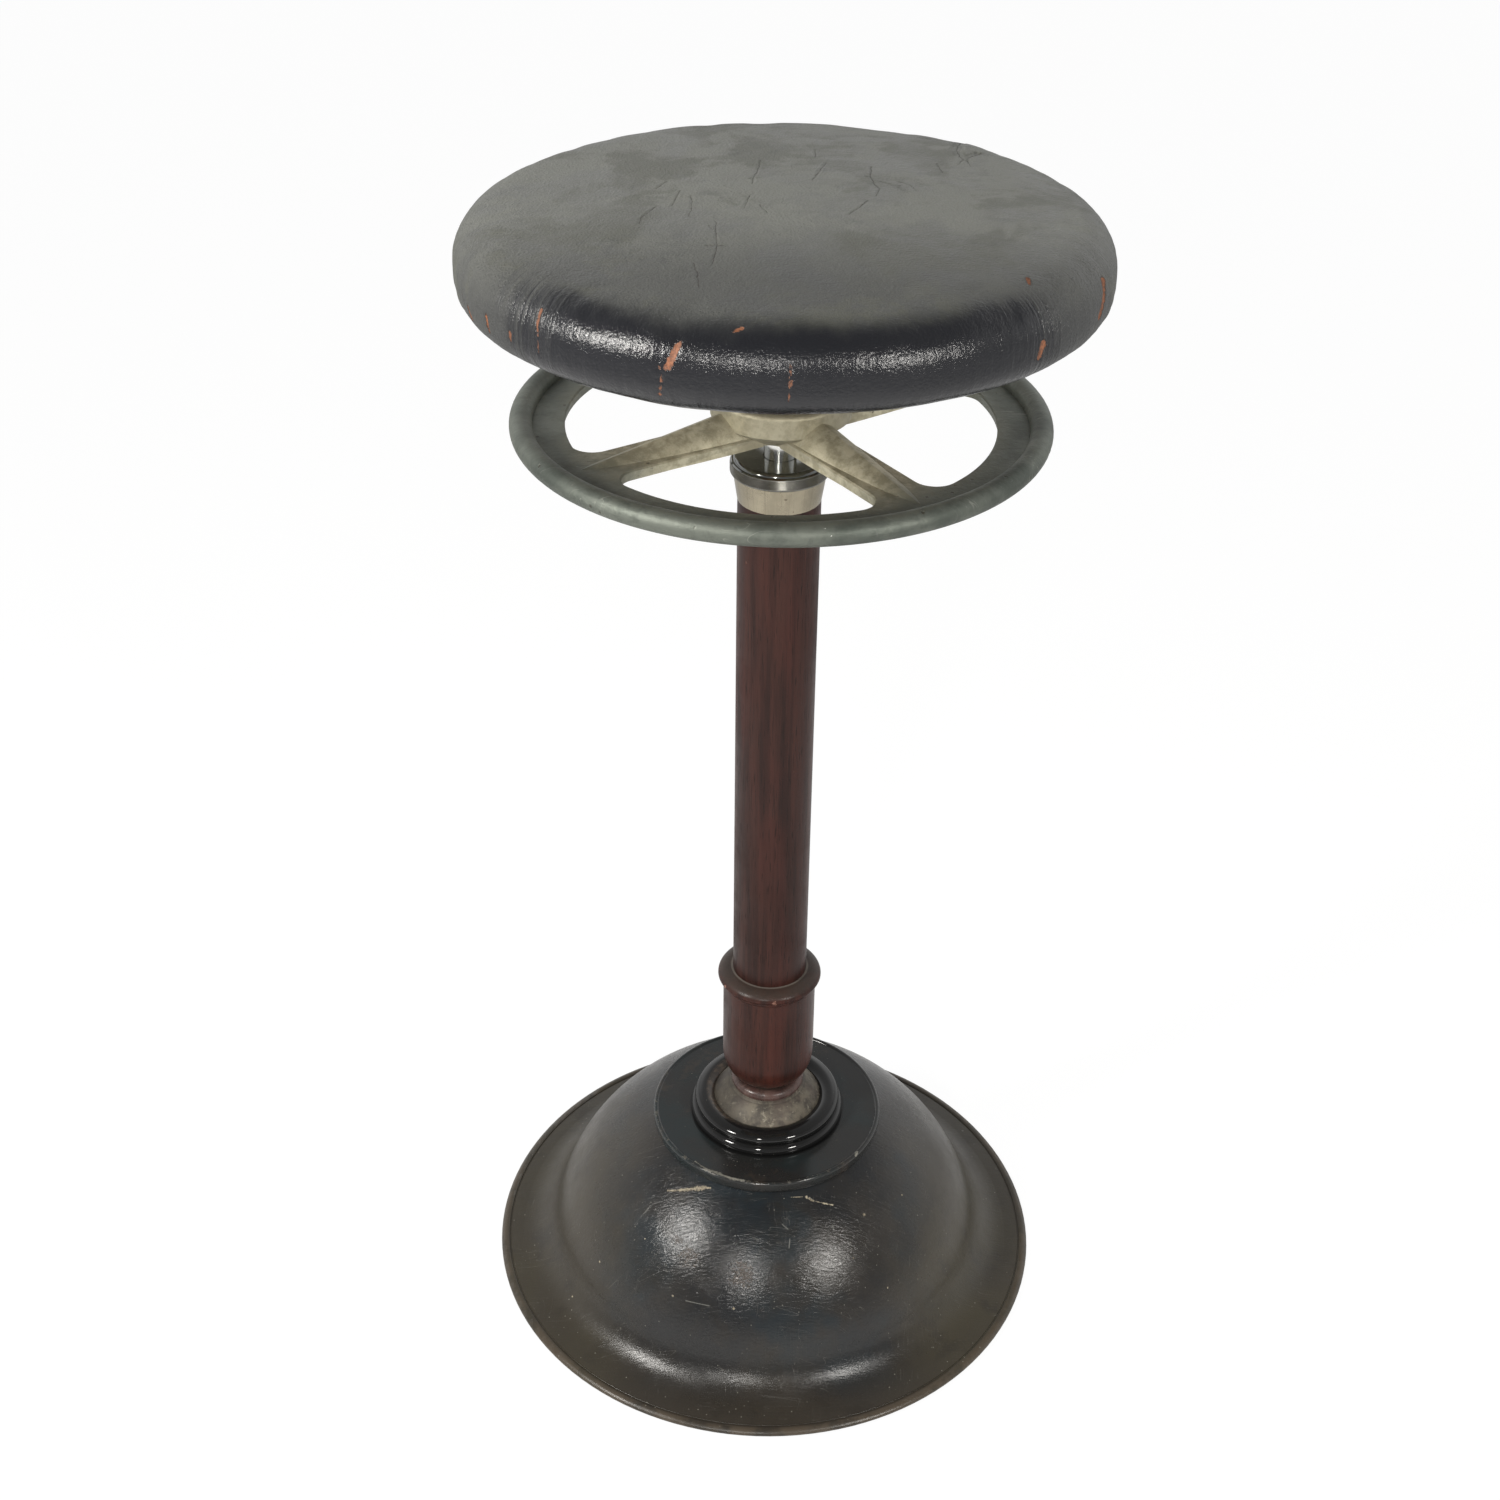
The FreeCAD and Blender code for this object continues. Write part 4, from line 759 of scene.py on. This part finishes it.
# Bare hide at the edge: (half width, (x, y, z) points), in millimetres
FLAKES = [
    (1.1, [(-46, -165, 749), (-49, -167, 745)]),
    (2.0, [(-49, -167, 745), (-52, -169, 739), (-54, -169, 735)]),
    (1.0, [(-58, -168, 734), (-57, -169, 727), (-58, -166, 716)]),
    (1.6, [(-57, -169, 727), (-57, -169, 729)]), (1.0, [(-53, -169, 720), (-53, -167, 716)]),
    (1.1, [(-23, -166, 752), (-19, -164, 753)]), (0.8, [(4, -176, 741), (4, -178, 732), (3, -177, 718)]),
    (1.4, [(4, -178, 734), (4, -178, 731)]), (0.9, [(-117, -127, 746), (-119, -130, 740), (-119, -132, 734)]),
    (0.6, [(-119, -132, 732), (-119, -131, 719)]), (1.3, [(-135, -116, 729), (-135, -116, 725)]),
    (1.7, [(-149, -97, 730), (-148, -99, 723)]),
    (1.5, [(-161, -75, 726), (-159, -78, 721)]), (1.2, [(-166, -65, 731), (-165, -67, 727)]),
    (2.4, [(162, -65, 743), (163, -69, 736), (161, -75, 728)]), (2.0, [(127, -124, 732), (126, -126, 725)]),
    (1.0, [(119, -100, 756), (120, -106, 756)]), (0.6, [(120, -106, 756), (120, -113, 754)]),
    (1.1, [(-166, 62, 735), (-165, 66, 728)]), (1.2, [(150, 95, 738), (149, 97, 729)]),
    (1.0, [(-70, 163, 742), (-71, 163, 732)]), (1.5, [(52, 170, 736), (53, 170, 727)]),
    (0.8, [(-12, 178, 735), (-12, 177, 722)]), (1.1, [(175, 20, 738), (176, 20, 730)]),
]
# Cracks on top of the seat: (half width, (x, y) points), in millimetres
CREASES = [
    (1.0, [(-35.1, -48.8), (-34.6, -67.6), (-33.6, -79), (-34, -90), (-34.9, -99)]),
    (1.0, [(-36.8, -79.3), (-30.9, -79.3)]), (0.8, [(-38, -54), (-34.6, -62.6)]),
    (0.9, [(-49.6, -8.6), (-48.7, -22.5), (-49.3, -37.6)]),
    (0.9, [(-19.1, -8.3), (-20.5, -19.1), (-21.2, -25.7)]),
    (0.9, [(-67.1, -24.1), (-70.5, -32.6), (-73.3, -38.6), (-74.3, -46.8)]),
    (0.9, [(-14.5, 54.8), (-15, 42.2), (-17.4, 23.2), (-17.9, 14.2)]), (0.7, [(-18.7, 22.3), (-15.4, 23.3)]),
    (0.9, [(21.5, 52.3), (18.4, 39.6), (14.9, 22.8)]),
    (1.0, [(46.6, 48.5), (45.8, 31.4), (48, 17.2), (49.9, 11.8), (48.3, 0.8)]),
    (0.8, [(44.1, 31.1), (46.7, 28.7)]), (0.8, [(51.9, 23.2), (56.5, 18.6), (59.8, 17.5)]),
    (0.8, [(42.6, -12.3), (39.4, -20.6), (33.3, -32.7)]),
    (1.2, [(100.3, 119.8), (96.8, 100.4), (98, 85.9), (99.6, 79.6)]),
    (1.2, [(99.6, 79.6), (105.2, 88.4), (108.8, 94.5)]), (0.9, [(98, 85.9), (96.5, 90)]),
    (1.0, [(99.6, 79.6), (96.6, 70.8)]), (0.9, [(101.4, 78.5), (102.3, 67.8)]),
    (0.8, [(84, 64.9), (85.6, 49.7)]), (0.8, [(-64.2, 16.6), (-66.6, 11.5), (-68.3, 7.3)]),
    (0.8, [(16, 81.5), (16.1, 67.6)]), (0.6, [(-44.2, -101.9), (-42, -110.7), (-40.7, -126.2)]),
    (0.8, [(61.4, 25), (66.6, 20.6), (69.5, 11.1)]), (0.7, [(60.3, 13.6), (64.1, 7.8)]),
    (0.8, [(-56, -0.1), (-57.7, -12.3), (-58.8, -22)]),
    (0.7, [(-13.2, -22.8), (-11.2, -28.5), (-9.2, -32.9)]), (0.8, [(77.4, 126.5), (81.7, 124.5)]),
]


def segments(paths):
    """(half width, start, end) for each straight stretch of the paths, with the points in metres."""
    for width, path in paths:
        points = [np.array(p) / 1000 for p in path]
        for a, b in zip(points[:-1], points[1:]):
            yield width, a, b


def from_segment(points, a, b):
    """The points as seen from the start of a segment, its direction, and their distances from it."""
    length = np.linalg.norm(b - a)
    way = (b - a) / length
    off = points - a
    along = np.clip(off @ way, 0, length)
    return off, way, np.linalg.norm(off - along[:, None] * way, axis=1)


def flake_field(points):
    """1 on a flake's line, 0.5 at its half width, 0 at twice that."""
    result = np.zeros(len(points))
    for width, a, b in segments(FLAKES):
        gap = from_segment(points, a, b)[2]
        result = np.maximum(result, 1 - gap / (2 * width / 1000))
    return np.clip(result, 0, 1)


def crease_fields(points):
    """How near each point is to a crease (1 on it), and on which side of it, in millimetres."""
    near, side = np.zeros(len(points)), np.ones(len(points))
    on_top = points[:, 2] > seat_z + 0.03
    for width, a, b in segments(CREASES):
        off, way, gap = from_segment(points[:, :2], a, b)
        share = np.clip(1.6 * width - gap * 1000 / 2, 0, 1) * on_top
        signed = (off[:, 0] * way[1] - off[:, 1] * way[0]) * 1000
        better = share > near
        near = np.where(better, share, near)
        side = np.where(better, np.clip(signed, -3, 3), side)
    return near, side


def waves(points, scale, octaves, seed):
    """Smooth seeded noise at each point, about -1 to 1."""
    shift = Vector((seed * 7.3, seed * 3.1, seed * 5.7))
    return np.array([noise.fractal(Vector(p) * scale + shift, 0.8, 2.0, octaves) for p in points])


def round_waves(points, around, along, octaves, seed):
    """Noise whose ridges run down the side and in over the edge, without a seam."""
    flat = np.hypot(points[:, 0], points[:, 1])
    safe = np.maximum(flat, 1e-6)
    place = np.stack([points[:, 0] / safe * around, points[:, 1] / safe * around,
                      (points[:, 2] - flat) * along], axis=1)
    return waves(place, 1.0, octaves, seed)


def smooth(value, low, high):
    t = np.clip((value - low) / (high - low), 0, 1)
    return t * t * (3 - 2 * t)


def seat_leather():
    """The leather, blown up against its tacks in a simulation and then made fine."""
    verts, faces, edge_share, skin_faces = seat_mesh()
    flat = np.hypot(verts[:, 0], verts[:, 1])
    under = verts[:, 2] < seat_z + 1e-5
    turn = np.arctan2(verts[:, 1], verts[:, 0])
    off_tack = np.abs((turn * tack_count / (2 * np.pi) + 0.5) % 1 - 0.5)
    on_tack = (np.abs(flat - tack_circle) < tack_reach) & (off_tack < tack_share)
    held = under & ((flat < tack_circle - bottom_inset) | on_tack)
    middle = np.array([0, 0, seat_z + side_height / 2])
    start = middle + (verts - middle) * (1 - start_inset / seat_radius)
    start[:, 2] = np.where(under, seat_z, start[:, 2])
    start[held] = verts[held]
    made = mesh_object("seat_leather", start, faces)
    moved = inflate(made, held) - start
    length = np.linalg.norm(moved, axis=1)
    start = start + moved * (bulge_limit / (bulge_limit + length))[:, None]
    start[under, 2] = np.clip(start[under, 2], seat_z - sag_limit, seat_z)
    bpy.data.objects.remove(made)

    skin = faces[:skin_faces]
    used = sorted({i for face in skin for i in face})
    number = {v: i for i, v in enumerate(used)}
    made = mesh_object("seat_leather", start[used], [tuple(number[i] for i in face) for face in skin])
    add_attribute(made.data, "edge", edge_share[used])
    divide = made.modifiers.new("Subdivision", "SUBSURF")
    divide.levels = divide.render_levels = 2
    divide.boundary_smooth = "PRESERVE_CORNERS"
    fine = evaluated(made)
    made.modifiers.clear()
    made.data = fine
    shape_leather(made.data)
    close_under(made.data)
    return made


def shape_leather(mesh):
    """Creases, dents and cracks in the fine mesh, and the fields that its material reads."""
    points = read_values(mesh.vertices, "co", 3)
    normals = read_values(mesh.vertex_normals, "vector", 3)
    edge = read_values(mesh.attributes["edge"].data, "value")
    flat = np.hypot(points[:, 0], points[:, 1])
    flake = flake_field(points)
    crease, side = crease_fields(points)
    off_line = np.abs(side)
    rim = smooth(edge, 0.15, 0.9) * smooth(points[:, 2], seat_z + 0.001, seat_z + 0.010)
    lift = (swell * waves(points, 16.0, 3, 1) + ripple * waves(points, 60.0, 2, 2)) * (1 - rim)
    lift += rim * (rim_swell * round_waves(points, 14.0, 6.0, 3, 3)
                   + rim_ripple * round_waves(points, 42.0, 18.0, 2, 4))
    ragged = waves(points, 260.0, 3, 5)
    lift -= flake_depth * smooth(flake + 0.25 * ragged, 0.35, 0.6) * (flake > 0.02)
    lift += flake_lip * smooth(flake, 0.12, 0.3) * (1 - smooth(flake, 0.3, 0.5))
    creased = smooth(crease, 0.1, 0.5)
    lift -= crack_depth * smooth(1 - off_line / 1.2 + 0.2 * ragged, 0.3, 0.9) * creased
    lift += crack_lip * creased * smooth(off_line, 0.6, 1.4) * (1 - smooth(off_line, 1.6, 2.8))
    from_tear = (points[:, :2] - tear_place) / tear_reach
    tear = np.exp(-(from_tear ** 2).sum(axis=1))
    lift += tear_height * tear * (1 - smooth(crease, 0.2, 0.6)) * (1 - rim)
    lift *= points[:, 2] > seat_z + 0.0005
    points += normals * lift[:, None]
    mesh.vertices.foreach_set("co", points.ravel())
    turn = np.degrees(np.abs(np.arctan2(points[:, 0], -points[:, 1])))
    polish = smooth(flat, polish_from, polish_to) * (1 - smooth(turn, 36.0, 60.0))
    for name, values in (("flake", flake), ("crease", crease), ("crease_side", side), ("polish", polish)):
        add_attribute(mesh, name, values)
    mesh.update()


def close_under(mesh):
    """Adds the leather's inner face: up from the hem and round the board, to make a closed form."""
    body = bmesh.new()
    body.from_mesh(mesh)
    hem = [e for e in body.edges if e.is_boundary]
    inner_radius, inner_z = board_radius + board_room, board_high.z + board_room
    under_z = board_low.z - hem_drop
    outline = (hem_radius, under_z), (inner_radius, under_z), (inner_radius, inner_z), (0.0, inner_z)
    for radius, height in outline:
        grown = bmesh.ops.extrude_edge_only(body, edges=hem)["geom"]
        hem = [g for g in grown if isinstance(g, bmesh.types.BMEdge) and g.is_boundary]
        for v in (g for g in grown if isinstance(g, bmesh.types.BMVert)):
            turn = math.atan2(v.co.y, v.co.x)
            v.co = Vector((radius * math.cos(turn), radius * math.sin(turn), height))
    bmesh.ops.remove_doubles(body, verts=list({v for e in hem for v in e.verts}), dist=1e-6)
    bmesh.ops.recalc_face_normals(body, faces=body.faces)
    body.to_mesh(mesh)
    body.free()
    mesh.shade_smooth()


# The knurled band

def knurl():
    """Small pyramids round the lock cap, cut by two sets of slanting grooves."""
    low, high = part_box("cap_nut")
    foot, top = low.z + 0.0009, low.z + 0.0072
    valley, peak, back = high.x + 0.00003, high.x + 0.00042, high.x - 0.0006
    count, rows = 140, 6
    half_row = (top - foot) / rows / 2
    verts, faces = [], []

    def point(around, reach, height):
        turn = 2 * math.pi * around / count
        verts.append((reach * math.cos(turn), reach * math.sin(turn), height))
        return len(verts) - 1

    grid = [[point(k + 0.5 * (row % 2), valley, foot + half_row * row) for k in range(count)]
            for row in range(2 * rows + 1)]
    for row in range(1, 2 * rows):
        odd = row % 2
        for k in range(count):
            left, right = grid[row][k], grid[row][(k + 1) % count]
            under, over = grid[row - 1][(k + odd) % count], grid[row + 1][(k + odd) % count]
            tip = point(k + 0.5 + 0.5 * odd, peak, foot + half_row * row)
            faces.extend([(left, under, tip), (under, right, tip), (right, over, tip), (over, left, tip)])
    low_ring = [point(k, back, foot) for k in range(count)]
    high_ring = [point(k, back, top) for k in range(count)]
    first, last = grid[0], grid[-1]
    for k in range(count):
        n = (k + 1) % count
        faces.append((low_ring[k], low_ring[n], first[n], first[k]))
        faces.append((last[k], last[n], high_ring[n], high_ring[k]))
        faces.append((low_ring[n], low_ring[k], high_ring[k], high_ring[n]))
        faces.append((first[k], first[n], grid[1][k]))
        faces.append((last[n], last[k], grid[-2][k]))
    return mesh_object("cap_knurl", verts, faces)


# Floor, sky, lamps and camera

floor_reach, floor_drop = 20, 0.0002
floor_glow, glow_share, reflected_share = 1.06, 0.88, 0.22
lamp_target = Vector((0, 0, 0.35))
lamp_colour = (1.0, 0.975, 0.93)

# The camera was fitted to the photo's circles of the seat, the wheel and the bell
camera_pitch, camera_yaw, camera_roll = (math.radians(a) for a in (32.957, -0.802, 0.764))
camera_place = Vector((0, -1.0699, 1.1066))
sensor_width, focal_length = 36, 49.198


def ground():
    """White floor that glows to the camera and, faintly, in reflections."""
    sides = (-1, -1), (1, -1), (1, 1), (-1, 1)
    corners = [(x * floor_reach, y * floor_reach, -floor_drop) for x, y in sides]
    floor = mesh_object("floor", corners, [(0, 1, 2, 3)])
    look = Look("floor_white", Specular_IOR_Level=0.1)
    look.colour = (0.86, 0.86, 0.86)
    floor.data.materials.append(look.finish(0.9))
    glow = look.add("Emission", {"Color": (1, 1, 1), "Strength": floor_glow})
    rays = look.add("LightPath").outputs
    seen = look.total((1, rays["Is Camera Ray"]), (reflected_share, rays["Is Glossy Ray"]))
    look.show("Material Output", look.times(seen, glow_share), look.shader, glow)


def sky():
    """A world that lights from above and from the back, and is plain white to the camera."""
    world = bpy.data.worlds.new("studio")
    bpy.context.scene.world = world
    world.use_nodes = True
    air = Nodes(world.node_tree)
    way = air.parts(air.add("TexCoord").outputs["Generated"])
    ramp = air.add("ValToRGB", {0: way["Z"]})
    stops = [(0.0, 1.0), (0.45, 0.95), (0.65, 0.5), (1.0, 0.25)]
    while len(ramp.color_ramp.elements) < len(stops):
        ramp.color_ramp.elements.new(0.5)
    for element, (position, value) in zip(ramp.color_ramp.elements, stops):
        element.position = position
        element.color = (value, value, value, 1)
    light = air.tree.nodes["Background"]
    air.feed(light.inputs["Color"], ramp.outputs[0])
    air.feed(light.inputs["Strength"], air.blend(air.step(way["Y"], -0.7, 0.5), 0.34, 1.0))
    white = air.add("Background", {"Color": (1, 1, 1)})
    air.show("World Output", air.add("LightPath").outputs["Is Camera Ray"], light, white)


def lamp(name, place, size, watts):
    """A soft box that looks at the middle of the stool."""
    light = bpy.data.lights.new(name, "AREA")
    light.shape = "RECTANGLE"
    light.size, light.size_y = size
    light.energy = watts
    light.color = lamp_colour
    placed = bpy.data.objects.new(name, light)
    bpy.context.scene.collection.objects.link(placed)
    placed.location = place
    placed.rotation_euler = (lamp_target - Vector(place)).to_track_quat("-Z", "Y").to_euler()
    placed.visible_camera = False


def studio():
    ground()
    sky()
    lamp("key", (-1.06, -0.72, 1.14), (0.22, 0.36), 15.0)
    lamp("fill", (0.90, -1.14, 1.06), (0.26, 0.26), 9.2)
    lamp("spot", (-0.29, -1.55, 1.16), (0.15, 0.15), 8.0)


def camera():
    level = Vector((math.sin(camera_yaw), math.cos(camera_yaw), 0))
    forward = level * math.cos(camera_pitch) - Vector((0, 0, math.sin(camera_pitch)))
    right = Vector((level.y, -level.x, 0))
    up = right.cross(forward)
    across = math.cos(camera_roll) * right + math.sin(camera_roll) * up
    above = -math.sin(camera_roll) * right + math.cos(camera_roll) * up
    lens = bpy.data.cameras.new("camera")
    lens.sensor_width = sensor_width
    lens.lens = focal_length
    placed = bpy.data.objects.new("camera", lens)
    bpy.context.scene.collection.objects.link(placed)
    turn = Matrix((across, above, -forward)).transposed().to_4x4()
    turn.translation = camera_place
    placed.matrix_world = turn
    bpy.context.scene.camera = placed


# Putting it together

def dress(made, material):
    made.data.materials.clear()
    made.data.materials.append(material)


def main():
    camera()
    studio()
    by_slot = {
        "black_enamel": bell_enamel(),
        "black_flange": flange_enamel(),
        "cast_iron": metal("cast_iron", (0.060, 0.055, 0.050), (0.12, 0.11, 0.10), 0.62, 0.5, 0.12),
        "ball_iron": ball_iron(),
        "steel": metal("steel", (0.42, 0.41, 0.39), (0.60, 0.59, 0.57), 0.34),
        "polished_steel": polished_steel(),
        "spring_steel": metal("spring_steel", (0.12, 0.13, 0.16), (0.24, 0.24, 0.27), 0.36),
        "bronze": metal("bronze", (0.40, 0.27, 0.12), (0.60, 0.43, 0.21), 0.36),
        "nickel": nickel("nickel_ferrule", 0.20, 0.34, 0.5, (0.38, 0.340, 0.255)),
        "mahogany": column_wood(),
        "mahogany_red": sleeve_wood(),
        "board": board_wood(),
        "aluminium": cast_aluminium(),
        "leather": aged_leather(),
        "stuffing": fabric("stuffing", (0.30, 0.26, 0.19), (0.55, 0.49, 0.38), 300.0),
        "felt": fabric("felt", (0.10, 0.08, 0.06), (0.22, 0.18, 0.14), 420.0),
        "rubber": fabric("rubber", (0.035, 0.022, 0.016), (0.090, 0.055, 0.040), 90.0),
        "tack_brass": metal("tack_brass", (0.16, 0.12, 0.06), (0.34, 0.26, 0.13), 0.42),
    }
    for name, slot in slots.items():
        dress(nodes[name], by_slot[slot])
    dress(nodes["neck_ring"], neck_wood())
    dress(nodes["cap_nut"], nickel("nickel_cap", 0.07, 0.16, 0.25, (0.24, 0.245, 0.235)))

    leather = seat_leather()
    dress(leather, by_slot["leather"])
    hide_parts("seat_cover", "seat_pad")
    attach(leather, "seat")

    band = knurl()
    dress(band, nickel("nickel_knurl", 0.18, 0.32, 0.2, (0.24, 0.235, 0.215)))
    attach(band, "lock")

    bpy.context.scene.view_settings.view_transform = "Standard"


main()
